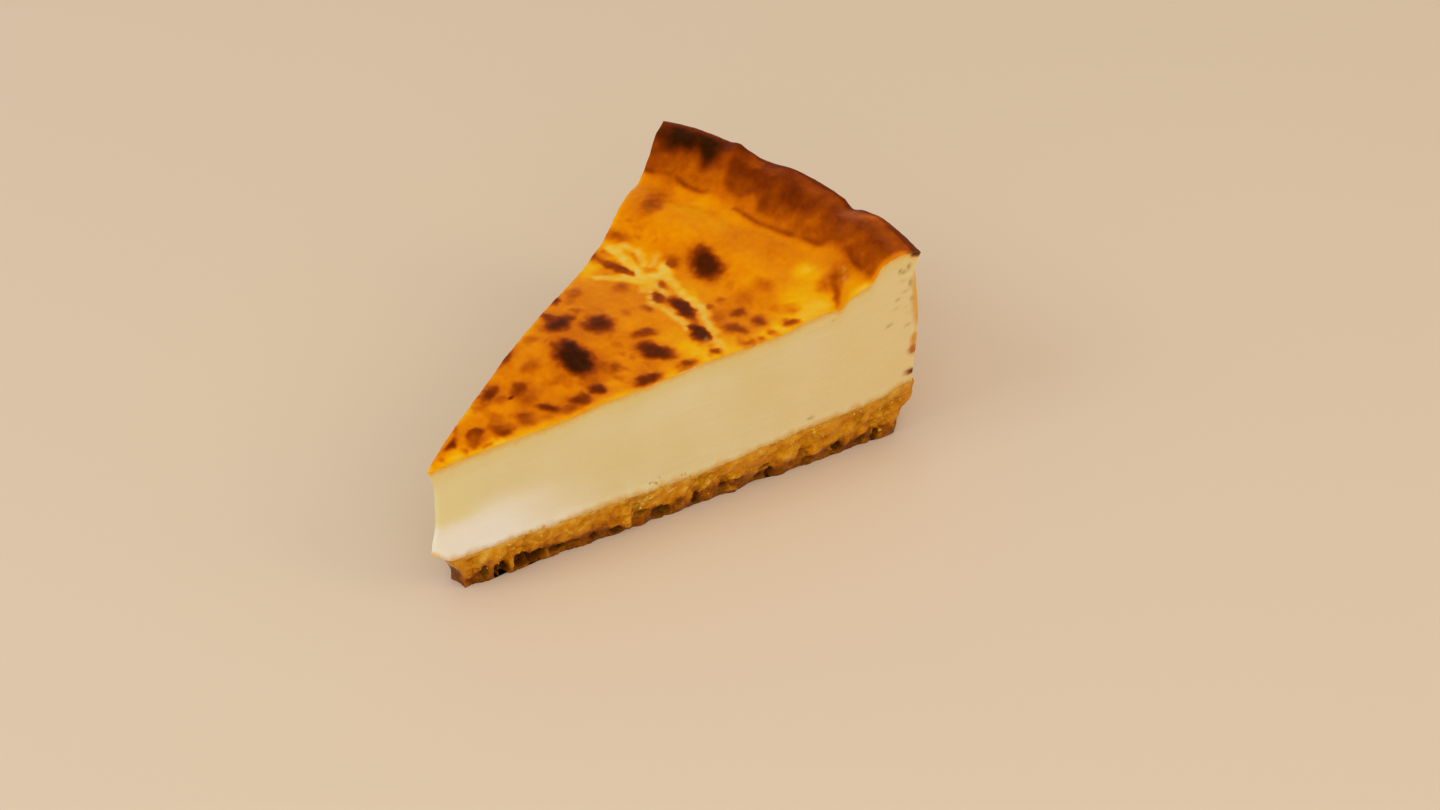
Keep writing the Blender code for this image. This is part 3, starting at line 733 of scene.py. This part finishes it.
def biscuit_rings(share, side, level):
    """Points and fields of the base's walls, one row for each level."""
    nose_share = BISCUIT_NOSE[-1][1] / CAKE_RADIUS
    head = seam_height(np.maximum(share, nose_share), side)
    height = head * level[:, None]
    points = on_slice(share[None, :], side[None, :], height, BISCUIT_NOSE, BISCUIT_WALL)
    x, y, z = points[..., 0], points[..., 1], points[..., 2]
    crag = noise_at(CRAG_WIDTH, x, y, z) + 0.5 * noise_at(CRAG_WIDTH / 2.3, x, y, z)
    undercut = eased(0.0, 0.45, noise_at(UNDERCUT_WIDTH, x, y, np.full(x.shape, 40.0)))
    low = bump(z - UNDERCUT_HEIGHT / 2, UNDERCUT_HEIGHT)
    clear_of_seam = 1.0 - eased(0.75, 1.0, level)[:, None]
    push = CRAG_KEPT * clear_of_seam * (CRAG_DEPTH * crag - UNDERCUT_DEPTH * undercut * low)
    paste = noise_at(PASTE_WIDTH, x, y, 1.4 * z)
    inside, own = lumps_at(CRUMB_WIDTH, x, y, 1.2 * z)
    grit = noise_at(GRIT_WIDTH, x, y, z)
    crumbly = eased(-0.1, 0.5, noise_at(7.0, x, y, z + 60.0))
    crumb = crumbly * (CRUMB_HEIGHT * (eased(0.0, 0.9, inside) - 0.7) + 0.4 * (own - 0.5))
    push += (0.1 + 0.9 * clear_of_seam) * (crumb + PASTE_HEIGHT * paste + GRIT_HEIGHT * grit)
    push += 0.8 * SEAM_PROUD * eased(0.7, 1.0, level)[:, None]
    along = np.broadcast_to(share * CAKE_RADIUS, height.shape)
    wall = np.broadcast_to(share == 1.0, height.shape)
    around = np.where(wall, 60 + 60 * np.broadcast_to(side, height.shape), along)
    right = np.broadcast_to((side == -1.0) & (share < 1.0), height.shape)
    hollow, lump = np.zeros(height.shape), np.zeros(height.shape)
    ragged = noise_at(1.4, x, y, z)
    for spot_along, spot_height, long, tall, proud in RIGHT_LUMPS:
        reach = np.hypot((along - spot_along) / (long / 2), (z - spot_height) / (tall / 2)) + 0.2 * ragged
        lump = np.maximum(lump, proud * right * (1.0 - eased(0.3, 1.3, reach)))
    push += lump
    for here, hollows in ((right, RIGHT_HOLLOWS), (~right, other_hollows())):
        for hollow_along, hollow_height, long, tall, deep in hollows:
            reach = np.hypot((around - hollow_along) / (long / 2), (z - hollow_height) / (tall / 2))
            reach += 0.4 * ragged
            hole = here * (1.0 - eased(0.65, 1.25, reach))
            push -= deep * hole
            hollow = np.maximum(hollow, hole * min(1.0, 0.45 + 0.4 * deep))
    points += outward(share, side)[None, :, :] * push[..., None]
    gap = crumbly * (1.0 - eased(0.0, 0.4, inside))
    # Painted shade: hollows, gaps between crumbs and undercuts are darkened in colour.
    shadow = hollow + GAP_SHADOW * gap + 0.35 * CRAG_KEPT * undercut * low
    # Painted shade: the crumb darkens towards its foot, where the lower part lies in shadow.
    foot_painted_shade = 1.0 - eased(1.2, 6.6, z + 0.9 * paste)
    rich = CRUMB_SHADE - FOOT_DARKER * foot_painted_shade
    golden_top = 0.12 + 0.14 * (1.0 - eased(30.0, 80.0, along))
    rich = rich + golden_top * eased(0.7, 1.0, level[:, None] + 0.06 * paste)
    rich = rich + 0.2 * paste + 0.3 * crumbly * (own - 0.5) + 0.26 * lump
    # Painted highlight: a lighter patch where glints cluster on the right cut.
    rich += 0.16 * right * bump(np.hypot((along - 59.0) / 10.0, (z - 5.0) / 2.6), 1.0)
    # Painted highlight: each ridge's crest is made lighter, as a glint, and stands a little proud.
    for ridge in PAINTED_GLINT_RIDGES:
        glint_crest = right * (1.0 - eased(0.05, 0.42, line_distance(ridge, along, z)))
        rich += 0.3 * glint_crest
        points += outward(share, side)[None, :, :] * (RIDGE_PROUD * glint_crest)[..., None]
    return points, {"painted_cavity_shade": np.clip(shadow, 0.0, DEEPEST_SHADOW), "rich": np.clip(rich, 0.0, 1.0)}


def make_base():
    """The biscuit base, one closed mesh with a flat foot."""
    edge = Lattice(CRUMB_COLUMNS)
    share, side = edge.share[edge.outline], edge.side[edge.outline]
    level = np.linspace(0.0, 1.0, CRUMB_LEVELS + 1)
    rings, wall_fields = biscuit_rings(share, side, level)
    inner = Lattice(HIDDEN_ROWS, HIDDEN_INSET)
    nose = BISCUIT_NOSE[-1][1]
    head = on_curve(LAYER_SEAM, np.maximum(inner.share * CAKE_RADIUS, nose)) - HIDDEN_GAP
    lid = on_slice(inner.share, inner.side, head, BISCUIT_NOSE, BISCUIT_WALL)
    foot = on_slice(inner.share, inner.side, np.zeros(head.shape), BISCUIT_NOSE, BISCUIT_WALL)

    around = len(edge.outline)
    points = np.concatenate((rings.reshape(-1, 3), lid, foot))
    ring_ids = [[step * around + k for k in range(around)] for step in range(CRUMB_LEVELS + 1)]
    lid_start = around * (CRUMB_LEVELS + 1)
    foot_start = lid_start + len(lid)
    sides = wall_faces(ring_ids, CRUMB_COLUMNS)[0]
    lid_seal = zipped(ring_ids[-1], [lid_start + k for k in inner.outline])
    foot_seal = zipped(ring_ids[0], [foot_start + k for k in inner.outline])
    lid_faces = [(a + lid_start, b + lid_start, c + lid_start) for a, b, c in inner.faces]
    foot_faces = [(a + foot_start, c + foot_start, b + foot_start) for a, b, c in inner.faces]
    faces = sides + lid_seal + [face[::-1] for face in foot_seal] + lid_faces + foot_faces
    hidden = len(lid) + len(foot)
    fields = {field: np.concatenate((values.ravel(), np.full(hidden, 0.5)))
              for field, values in wall_fields.items()}
    return make_piece("biscuit_base_crumb", points, faces, [0] * len(faces), fields)


def turned_linear(colour):
    """Linear red, green, blue and alpha of an sRGB hex colour."""
    channels = [int(colour[k:k + 2], 16) / 255 for k in (0, 2, 4)]
    linear = [c / 12.92 if c <= 0.04045 else ((c + 0.055) / 1.055) ** 2.4 for c in channels]
    return (*linear, 1.0)


def add_node(tree, kind, inputs=None, take=None, **settings):
    """Adds one node to a tree and returns it, or the output that take names.

    inputs maps a socket to its value, or to the output that feeds it. A stops setting fills a colour ramp.
    """
    made = tree.nodes.new(kind)
    stops = settings.pop("stops", ())
    for setting, value in settings.items():
        setattr(made, setting, value)
    for place, colour in stops:
        is_end = place in (0.0, 1.0)
        stop = made.color_ramp.elements[-int(place)] if is_end else made.color_ramp.elements.new(place)
        stop.color = turned_linear(colour)
    for socket, value in (inputs or {}).items():
        if isinstance(value, bpy.types.NodeSocket):
            tree.links.new(value, made.inputs[socket])
        else:
            made.inputs[socket].default_value = value
    return made if take is None else made.outputs[take]


def new_material(name):
    """An empty node material."""
    material = bpy.data.materials.new(name)
    material.use_nodes = True
    material.node_tree.nodes.clear()
    return material, material.node_tree


def uneven(tree, width, detail, low, high):
    """A value that clouds from low to high over the object, in patches width mm across."""
    place = add_node(tree, "ShaderNodeTexCoord", take="Object")
    clouds = add_node(tree, "ShaderNodeTexNoise", {
        "Vector": place, "Scale": 1.0 / (width * MM), "Detail": detail}, take="Fac")
    return add_node(tree, "ShaderNodeMapRange", {
        "Value": clouds, "From Min": 0.28, "From Max": 0.72, "To Min": low, "To Max": high}, take="Result")


# Browning of the side that baked against the tin, from set cream to dark brown.
TIN_TONES = ((0.0, "EFDCAE"), (0.15, "E8C682"), (0.32, "D99F3E"), (0.5, "C4761A"), (0.66, "954A0B"),
             (0.82, "5C3008"), (1.0, "351507"))


def browned_skin_material():
    """Custard skin browned by the oven: satin, blotched from gold to char, with fine wrinkles."""
    material, tree = new_material("browned_custard_skin")
    tone = add_node(tree, "ShaderNodeAttribute", take="Fac", attribute_name="tone")
    bare_and_glint = add_node(tree, "ShaderNodeAttribute", take="Fac", attribute_name="bare_and_glint")
    mottled = add_node(tree, "ShaderNodeMath", {0: tone, 1: uneven(tree, 1.6, 3.0, -0.028, 0.028)}, take=0)
    freckled = add_node(tree, "ShaderNodeMath", {
        0: mottled, 1: uneven(tree, 0.45, 2.0, -0.007, 0.007)}, take=0)
    browned = add_node(tree, "ShaderNodeValToRGB", {"Fac": freckled}, take="Color", stops=SKIN_TONES)
    # Pale cream where the skin is split, and painted highlight where the glint spots are.
    colour = add_node(tree, "ShaderNodeMix", {
        0: bare_and_glint, 6: browned, 7: turned_linear("E6C256")}, take=2, data_type="RGBA")
    wrinkles = add_node(tree, "ShaderNodeMath", {
        0: uneven(tree, 1.9, 5.0, 0.2, 0.5), 1: uneven(tree, 0.4, 3.0, 0.0, 0.2)}, take=0)
    relief = add_node(tree, "ShaderNodeBump", {
        "Strength": 0.32, "Distance": 0.3 * MM, "Height": wrinkles}, take="Normal")
    shader = add_node(tree, "ShaderNodeBsdfPrincipled", {
        "Base Color": colour, "Roughness": uneven(tree, 2.4, 4.0, 0.3, 0.48), "Normal": relief,
        "IOR": 1.4, "Specular IOR Level": 0.06, "Specular Tint": turned_linear("FFB45A"),
        "Subsurface Weight": 0.08, "Subsurface Radius": (1.0, 0.4, 0.1), "Subsurface Scale": 0.8 * MM},
        take="BSDF")
    add_node(tree, "ShaderNodeOutputMaterial", {"Surface": shader})
    return material


def cut_cream_material():
    """Set cream cheese cut by a knife: dense, pale and moist, golden just under the skin."""
    material, tree = new_material("cut_baked_cream")
    names = ("along", "depth", "smear_and_sheen", "olive", "tone", "crust", "pit", "stain")
    along, depth, smear_and_sheen, olive, tone, crust, pit, stain = (
        add_node(tree, "ShaderNodeAttribute", take="Fac", attribute_name=name) for name in names)
    clouds = uneven(tree, 16.0, 2.0, 0.0, 1.0)
    body = add_node(tree, "ShaderNodeMix", {
        0: clouds, 6: turned_linear("E1CA8C"), 7: turned_linear("E5D19C")}, take=2, data_type="RGBA")
    toward_rim = add_node(tree, "ShaderNodeMapRange", {
        "Value": along, "From Min": 60.0, "From Max": 118.0, "To Max": 0.7}, take="Result")
    ragged_depth = add_node(tree, "ShaderNodeMath", {
        0: depth, 1: uneven(tree, 1.6, 4.0, -0.5, 0.5)}, take=0)
    # Bands below the skin: (depth where it starts to fade, depth where it ends, cover, kind of fade).
    bands = ((0.3, 7.0, 0.55, "SMOOTHERSTEP"), (0.2, 2.4, 0.85, "SMOOTHSTEP"),
             (-0.1, 0.6, 1.0, "SMOOTHSTEP"))
    near_skin, under_skin, skin_edge = (
        add_node(tree, "ShaderNodeMapRange", {
            "Value": ragged_depth, "From Min": start, "From Max": end, "To Min": cover, "To Max": 0.0},
            take="Result", interpolation_type=fade)
        for start, end, cover, fade in bands)
    browned = add_node(tree, "ShaderNodeValToRGB", {"Fac": tone}, take="Color", stops=SKIN_TONES)
    baked = add_node(tree, "ShaderNodeValToRGB", {"Fac": tone}, take="Color", stops=TIN_TONES)
    patchy_stain = add_node(tree, "ShaderNodeMath", {
        0: stain, 1: uneven(tree, 1.1, 3.0, 0.65, 1.0)}, take=0, operation="MULTIPLY")
    # Colours laid over the body, in this order: (cover, colour).
    # The smear's whiter colour is partly painted sheen.
    layers = ((toward_rim, turned_linear("E4C686")), (smear_and_sheen, turned_linear("F0E6D0")),
              (olive, turned_linear("E4D294")), (near_skin, turned_linear("DFC26C")),
              (under_skin, turned_linear("E4AE3C")), (skin_edge, browned), (crust, baked),
              (pit, turned_linear("A48230")), (patchy_stain, turned_linear("DA9C38")))
    colour = body
    for cover, over in layers:
        colour = add_node(tree, "ShaderNodeMix", {0: cover, 6: colour, 7: over}, take=2, data_type="RGBA")

    run = add_node(tree, "ShaderNodeMath", {0: along, 1: 0.05}, take=0, operation="MULTIPLY")
    drop = add_node(tree, "ShaderNodeMath", {0: depth, 1: 0.8}, take=0, operation="MULTIPLY")
    knife_drag = add_node(tree, "ShaderNodeCombineXYZ", {"X": run, "Y": drop}, take="Vector")
    streaks = add_node(tree, "ShaderNodeTexNoise", {
        "Vector": knife_drag, "Scale": 1.0, "Detail": 4.0}, take="Fac")
    surface = add_node(tree, "ShaderNodeMath", {0: streaks, 1: uneven(tree, 0.5, 3.0, 0.0, 0.2)}, take=0)
    relief = add_node(tree, "ShaderNodeBump", {
        "Strength": 0.4, "Distance": 0.22 * MM, "Height": surface}, take="Normal")
    shader = add_node(tree, "ShaderNodeBsdfPrincipled", {
        "Base Color": colour, "Roughness": uneven(tree, 5.0, 3.0, 0.42, 0.58), "Normal": relief,
        "IOR": 1.4, "Specular IOR Level": 0.3,
        "Subsurface Weight": 0.3, "Subsurface Radius": (1.0, 0.7, 0.4), "Subsurface Scale": 2.5 * MM},
        take="BSDF")
    add_node(tree, "ShaderNodeOutputMaterial", {"Surface": shader})
    return material


def tin_side_material():
    """Skin that set against the tin: matt, finely pitted, from cream to golden brown."""
    material, tree = new_material("tin_baked_skin")
    tone = add_node(tree, "ShaderNodeAttribute", take="Fac", attribute_name="tone")
    mottled = add_node(tree, "ShaderNodeMath", {0: tone, 1: uneven(tree, 1.8, 4.0, -0.04, 0.04)}, take=0)
    colour = add_node(tree, "ShaderNodeValToRGB", {"Fac": mottled}, take="Color", stops=TIN_TONES)
    pitted = add_node(tree, "ShaderNodeMath", {
        0: uneven(tree, 2.2, 5.0, 0.2, 0.5), 1: uneven(tree, 0.5, 3.0, 0.0, 0.25)}, take=0)
    relief = add_node(tree, "ShaderNodeBump", {
        "Strength": 0.5, "Distance": 0.4 * MM, "Height": pitted}, take="Normal")
    shader = add_node(tree, "ShaderNodeBsdfPrincipled", {
        "Base Color": colour, "Roughness": uneven(tree, 3.0, 3.0, 0.5, 0.7), "Normal": relief,
        "IOR": 1.4, "Specular IOR Level": 0.25, "Specular Tint": turned_linear("FFC88C"),
        "Subsurface Weight": 0.15, "Subsurface Radius": (1.0, 0.5, 0.2), "Subsurface Scale": 1.5 * MM},
        take="BSDF")
    add_node(tree, "ShaderNodeOutputMaterial", {"Surface": shader})
    return material


def biscuit_material():
    """Fine biscuit crumb soaked with melted butter: dense, amber, glossy where the butter sits."""
    material, tree = new_material("buttered_biscuit_crumb")
    rich = add_node(tree, "ShaderNodeAttribute", take="Fac", attribute_name="rich")
    painted_cavity_shade = add_node(tree, "ShaderNodeAttribute", take="Fac", attribute_name="painted_cavity_shade")
    clouded = add_node(tree, "ShaderNodeMath", {0: rich, 1: uneven(tree, 1.6, 4.0, -0.16, 0.16)}, take=0)
    grainy = add_node(tree, "ShaderNodeMath", {0: clouded, 1: uneven(tree, 0.5, 3.0, -0.08, 0.08)}, take=0)
    crumb = add_node(tree, "ShaderNodeValToRGB", {"Fac": grainy}, take="Color", stops=(
        (0.0, "6E3400"), (0.2, "985000"), (0.45, "C67800"), (0.7, "D69016"), (1.0, "E2B448")))
    # Painted shade: hollows, gaps and undercuts darkened towards dark brown.
    colour = add_node(tree, "ShaderNodeMix", {
        0: painted_cavity_shade, 6: crumb, 7: turned_linear("401C00")}, take=2, data_type="RGBA")
    gritty = add_node(tree, "ShaderNodeMath", {
        0: uneven(tree, 1.3, 4.0, 0.0, 0.7), 1: uneven(tree, 0.45, 3.0, 0.0, 0.3)}, take=0)
    relief = add_node(tree, "ShaderNodeBump", {
        "Strength": 0.6, "Distance": 0.4 * MM, "Height": gritty}, take="Normal")
    shader = add_node(tree, "ShaderNodeBsdfPrincipled", {
        "Base Color": colour, "Roughness": uneven(tree, 2.2, 4.0, 0.12, 0.42), "Normal": relief,
        "IOR": 1.46, "Specular IOR Level": 0.5, "Specular Tint": turned_linear("FFC44A"),
        "Subsurface Weight": 0.2, "Subsurface Radius": (1.0, 0.5, 0.1), "Subsurface Scale": 1.2 * MM},
        take="BSDF")
    add_node(tree, "ShaderNodeOutputMaterial", {"Surface": shader})
    return material


def loose_crumb_material():
    """Single grains of buttered biscuit: each its own shade, from caramel to pale gold."""
    material, tree = new_material("broken_biscuit_grain")
    own_shade = add_node(tree, "ShaderNodeAttribute", take="Fac", attribute_name="shade")
    shade = add_node(tree, "ShaderNodeMath", {0: own_shade, 1: uneven(tree, 0.5, 3.0, -0.1, 0.1)}, take=0)
    colour = add_node(tree, "ShaderNodeValToRGB", {"Fac": shade}, take="Color", stops=(
        (0.0, "9A5A04"), (0.35, "C8860C"), (0.65, "E2A824"), (0.88, "F0C040"), (1.0, "F8D468")))
    relief = add_node(tree, "ShaderNodeBump", {
        "Strength": 0.5, "Distance": 0.2 * MM, "Height": uneven(tree, 0.35, 3.0, 0.0, 1.0)}, take="Normal")
    shader = add_node(tree, "ShaderNodeBsdfPrincipled", {
        "Base Color": colour, "Roughness": uneven(tree, 1.4, 3.0, 0.15, 0.5), "Normal": relief,
        "IOR": 1.46, "Specular IOR Level": 0.5, "Specular Tint": turned_linear("FFC44A")}, take="BSDF")
    add_node(tree, "ShaderNodeOutputMaterial", {"Surface": shader})
    return material


def paper_material():
    """Matt studio paper, warm and pale."""
    material, tree = new_material("studio_paper")
    tint = add_node(tree, "ShaderNodeMix", {
        0: uneven(tree, 300.0, 2.0, 0.0, 1.0), 6: turned_linear("DFC5A3"), 7: turned_linear("E0C6A5")},
        take=2, data_type="RGBA")
    shader = add_node(tree, "ShaderNodeBsdfPrincipled", {
        "Base Color": tint, "Roughness": 0.75, "Specular IOR Level": 0.2}, take="BSDF")
    add_node(tree, "ShaderNodeOutputMaterial", {"Surface": shader})
    return material


# Loose grains: (name, grains per square metre, radius of the smallest and of the largest, seed).
GRAINS_ON_BASE = (
    ("coarse_biscuit_grains", 26000.0, 0.25, 0.6, 5),
    ("fine_biscuit_grains", 200000.0, 0.12, 0.3, 8),
)
GRAINS_ON_CREAM = (("dragged_biscuit_grains", 1.5e6, 0.1, 0.32, 21),)
GRAIN_SHAPES = 5
GRAIN_ROUGHNESS = 2.6


def crumb_tree(name):
    """Geometry nodes that strew broken grains over a surface and turn them into plain mesh."""
    tree = bpy.data.node_groups.new(name, "GeometryNodeTree")
    sockets = (("Surface", "NodeSocketGeometry"), ("Grains per square metre", "NodeSocketFloat"),
               ("Smallest", "NodeSocketFloat"), ("Largest", "NodeSocketFloat"), ("Seed", "NodeSocketInt"),
               ("Material", "NodeSocketMaterial"))
    for label, kind in sockets:
        tree.interface.new_socket(label, in_out="INPUT", socket_type=kind)
    tree.interface.new_socket("Grains", in_out="OUTPUT", socket_type="NodeSocketGeometry")
    given = add_node(tree, "NodeGroupInput").outputs

    where = add_node(tree, "GeometryNodeInputNamedAttribute", {
        "Name": "grainy"}, take="Attribute", data_type="FLOAT")
    density = add_node(tree, "ShaderNodeMath", {
        0: given["Grains per square metre"], 1: where}, take=0, operation="MULTIPLY")
    strewn = add_node(tree, "GeometryNodeDistributePointsOnFaces", {
        "Mesh": given["Surface"], "Density": density, "Seed": given["Seed"]}, take="Points")

    shapes = add_node(tree, "GeometryNodeJoinGeometry")
    for variant in range(GRAIN_SHAPES):
        ball = add_node(tree, "GeometryNodeMeshIcoSphere", {"Radius": 1.0, "Subdivisions": 1}, take="Mesh")
        place = add_node(tree, "GeometryNodeInputPosition", take="Position")
        rough = add_node(tree, "ShaderNodeTexNoise", {
            "Vector": place, "W": 7.3 * variant, "Scale": 1.1, "Detail": 1.0},
            take="Color", noise_dimensions="4D")
        offset = add_node(tree, "ShaderNodeVectorMath", {
            0: rough, 1: (0.5, 0.5, 0.5)}, take="Vector", operation="SUBTRACT")
        pushed = add_node(tree, "ShaderNodeVectorMath", {
            0: offset, "Scale": GRAIN_ROUGHNESS}, take="Vector", operation="SCALE")
        shaped = add_node(tree, "GeometryNodeSetPosition", {
            "Geometry": ball, "Offset": pushed}, take="Geometry")
        single = add_node(tree, "GeometryNodeGeometryToInstance", {"Geometry": shaped}, take="Instances")
        tree.links.new(single, shapes.inputs["Geometry"])

    turn = add_node(tree, "FunctionNodeRandomValue", {
        0: (0.0, 0.0, 0.0), 1: (math.tau, math.tau, math.tau), "Seed": 11},
        take=0, data_type="FLOAT_VECTOR")
    draw = add_node(tree, "FunctionNodeRandomValue", {
        2: 0.0, 3: 1.0, "Seed": 12}, take=1, data_type="FLOAT")
    fewer_large = add_node(tree, "ShaderNodeMath", {0: draw, 1: 2.2}, take=0, operation="POWER")
    size = add_node(tree, "ShaderNodeMapRange", {
        "Value": fewer_large, "To Min": given["Smallest"], "To Max": given["Largest"]}, take="Result")
    chosen = add_node(tree, "FunctionNodeRandomValue", {
        4: 0, 5: GRAIN_SHAPES - 1, "Seed": 13}, take=2, data_type="INT")
    placed = add_node(tree, "GeometryNodeInstanceOnPoints", {
        "Points": strewn, "Instance": shapes.outputs["Geometry"], "Pick Instance": True,
        "Instance Index": chosen, "Rotation": turn, "Scale": size}, take="Instances")
    shade = add_node(tree, "FunctionNodeRandomValue", {
        2: 0.5, 3: 1.0, "Seed": 14}, take=1, data_type="FLOAT")
    shaded = add_node(tree, "GeometryNodeStoreNamedAttribute", {
        "Geometry": placed, "Name": "shade", "Value": shade},
        take="Geometry", data_type="FLOAT", domain="INSTANCE")
    real = add_node(tree, "GeometryNodeRealizeInstances", {"Geometry": shaded}, take="Geometry")
    dressed = add_node(tree, "GeometryNodeSetMaterial", {
        "Geometry": real, "Material": given["Material"]}, take="Geometry")
    add_node(tree, "NodeGroupOutput", {"Grains": dressed})
    return tree


def strewn_crumbs(carrying, tree, material, name, density, smallest, largest, seed):
    """A plain mesh of grains strewn by the crumb tree where the piece that carries them is grainy."""
    values = {"Grains per square metre": density, "Smallest": smallest * MM, "Largest": largest * MM,
              "Seed": seed, "Material": material}
    carrier = bpy.data.objects.new(name + "_carrier", carrying.data.copy())
    bpy.context.scene.collection.objects.link(carrier)
    modifier = carrier.modifiers.new(name, "NODES")
    modifier.node_group = tree
    for item in tree.interface.items_tree:
        if item.in_out == "INPUT" and item.name in values:
            modifier[item.identifier] = values[item.name]
    evaluated = carrier.evaluated_get(bpy.context.evaluated_depsgraph_get())
    mesh = bpy.data.meshes.new_from_object(evaluated)
    mesh.name = name
    bpy.data.objects.remove(carrier)
    for vertex in mesh.vertices:
        vertex.co.z = max(vertex.co.z, 0.0)
    piece = bpy.data.objects.new(name, mesh)
    bpy.context.scene.collection.objects.link(piece)
    return piece


def mark_grainy(piece, strength):
    """Stores how densely grains lie at each point of a piece."""
    attribute = piece.data.attributes.new("grainy", "FLOAT", "POINT")
    attribute.data.foreach_set("value", strength.astype(np.float32))


def places_of(piece):
    """Places of a piece's points, in mm from the slice's point."""
    flat = np.empty(len(piece.data.vertices) * 3)
    piece.data.vertices.foreach_get("co", flat)
    return (flat.reshape(-1, 3) - np.array(TIP)) / MM


def grains_on_base(base):
    """Grains on the base's broken walls, clumped, thicker near the seam and none on the floor."""
    x, y, z = places_of(base).T
    strength = 0.15 + eased(0.0, 0.4, noise_at(6.0, x, y, z))
    strength *= (0.5 + 0.9 * eased(5.5, 8.5, z)) * eased(1.4, 2.2, z)
    broken_wall_points = 3 * CRUMB_COLUMNS * (CRUMB_LEVELS + 1)
    strength[broken_wall_points:] = 0.0
    mark_grainy(base, strength)


# Patches of crumbs that the knife dragged onto the right cut: (distance from the tip, height, long, tall).
DRAGGED_CRUMBS = (
    (25.0, 9.8, 10.0, 1.0), (54.5, 10.4, 6.0, 1.8), (60.5, 9.6, 7.0, 1.4), (84.0, 10.2, 6.0, 1.0),
    (11.0, 10.2, 4.0, 1.0),
)


def grains_on_cream(filling):
    """Grains dragged onto the cut cream just above the seam."""
    x, y, z = places_of(filling).T
    along = np.hypot(x, y)
    cut = np.abs(np.abs(np.arctan2(y, x)) - SLICE_ANGLE / 2) * along < 1.2
    above = z - on_curve(LAYER_SEAM, along)
    strength = 0.1 * (1.0 - eased(0.1, 0.8, above))
    for crumb_along, height, long, tall in DRAGGED_CRUMBS:
        reach = np.hypot((along - crumb_along) / (long / 2), (z - height) / (tall / 2))
        strength = np.maximum(strength, (y < 0) * (1.0 - eased(0.6, 1.3, reach)))
    mark_grainy(filling, strength * cut * (above < 5.0))


def shade(piece, materials, sharp=None):
    """Smooth shading, the piece's materials, and sharp edges past an angle in degrees."""
    for material in materials:
        piece.data.materials.append(material)
    piece.data.shade_smooth()
    if sharp:
        piece.data.set_sharp_from_angle(angle=math.radians(sharp))


# The camera of the photograph, measured from the slice's point.
CAMERA_TARGET = Vector((93.8, -0.3, 0.0)) * MM
CAMERA_DISTANCE = 569.6 * MM
CAMERA_HEADING = math.radians(51.1)
CAMERA_ELEVATION = math.radians(37.4)
CAMERA_ROLL = math.radians(2.51)
LENS = 60.0


def make_camera():
    """The camera at the photograph's place, with no depth of field."""
    forward = Vector((math.sin(CAMERA_HEADING) * math.cos(CAMERA_ELEVATION),
                      math.cos(CAMERA_HEADING) * math.cos(CAMERA_ELEVATION), -math.sin(CAMERA_ELEVATION)))
    data = bpy.data.cameras.new("photo_camera")
    data.lens = LENS
    data.sensor_width = 36.0
    data.clip_start = 0.01
    camera = bpy.data.objects.new("photo_camera", data)
    turned = forward.to_track_quat("-Z", "Y").to_matrix() @ Matrix.Rotation(CAMERA_ROLL, 3, "Z")
    camera.matrix_world = turned.to_4x4()
    camera.location = TIP + CAMERA_TARGET - forward * CAMERA_DISTANCE
    bpy.context.scene.collection.objects.link(camera)
    bpy.context.scene.camera = camera


# The studio, in metres. A softbox is (name, size, distance, radiance of white paper that faces it,
# heading, elevation in degrees, colour). The heading points from the slice to the light.
FLOOR_HALF_WIDTH = 4.0
SKY = 0.71
SOFTBOXES = (
    ("right_softbox", 0.60, 1.4, 0.12, (0.365, -0.931), 40.0, "FFE0C0"),
    ("left_softbox", 0.50, 1.3, 0.25, (-0.92, 0.39), 42.0, "CCDDFF"),
    ("front_softbox", 0.80, 0.9, 0.23, (-0.70, -0.72), 36.0, "E2ECFF"),
)


def add_softbox(name, size, distance, strength, heading, elevation, colour):
    """A square area light, whose power gives a white surface that faces it this radiance."""
    level = math.cos(math.radians(elevation))
    place = distance * Vector((*Vector(heading).normalized() * level, math.sin(math.radians(elevation))))
    data = bpy.data.lights.new(name, "AREA")
    data.shape = "SQUARE"
    data.size = size
    data.energy = strength * math.pi ** 2 * distance ** 2
    data.color = turned_linear(colour)[:3]
    light = bpy.data.objects.new(name, data)
    light.location = place
    light.rotation_euler = (-place).to_track_quat("-Z", "Y").to_euler()
    bpy.context.scene.collection.objects.link(light)


def make_studio():
    """A pale paper floor, an even sky and three softboxes."""
    mesh = bpy.data.meshes.new("paper_floor")
    half = FLOOR_HALF_WIDTH
    corners = ((-half, -half, 0.0), (half, -half, 0.0), (half, half, 0.0), (-half, half, 0.0))
    mesh.from_pydata(corners, [], [(0, 1, 2, 3)])
    mesh.materials.append(paper_material())
    floor = bpy.data.objects.new("paper_floor", mesh)
    bpy.context.scene.collection.objects.link(floor)
    world = bpy.data.worlds.new("studio_sky")
    world.use_nodes = True
    world.node_tree.nodes["Background"].inputs["Color"].default_value = (1.0, 1.0, 1.0, 1.0)
    world.node_tree.nodes["Background"].inputs["Strength"].default_value = SKY
    bpy.context.scene.world = world
    for softbox in SOFTBOXES:
        add_softbox(*softbox)
    bpy.context.scene.view_settings.view_transform = "Standard"


def main():
    """Dresses the slice, strews its grains, and sets up the camera and the studio."""
    filling = make_filling()
    shade(filling, [browned_skin_material(), cut_cream_material(), tin_side_material()], SHARP_EDGE)
    base = make_base()
    shade(base, [biscuit_material()])
    grains_on_base(base)
    grains_on_cream(filling)
    tree = crumb_tree("strewn_biscuit_grains")
    grain_finish = loose_crumb_material()
    grains = [strewn_crumbs(carrying, tree, grain_finish, *kind)
              for carrying, kinds in ((base, GRAINS_ON_BASE), (filling, GRAINS_ON_CREAM)) for kind in kinds]
    for piece in grains:
        piece.data.shade_smooth()
    for piece in (filling, base, *grains):
        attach(piece, "root")
    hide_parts("cheese_filling")
    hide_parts("biscuit_base")
    make_camera()
    make_studio()


main()
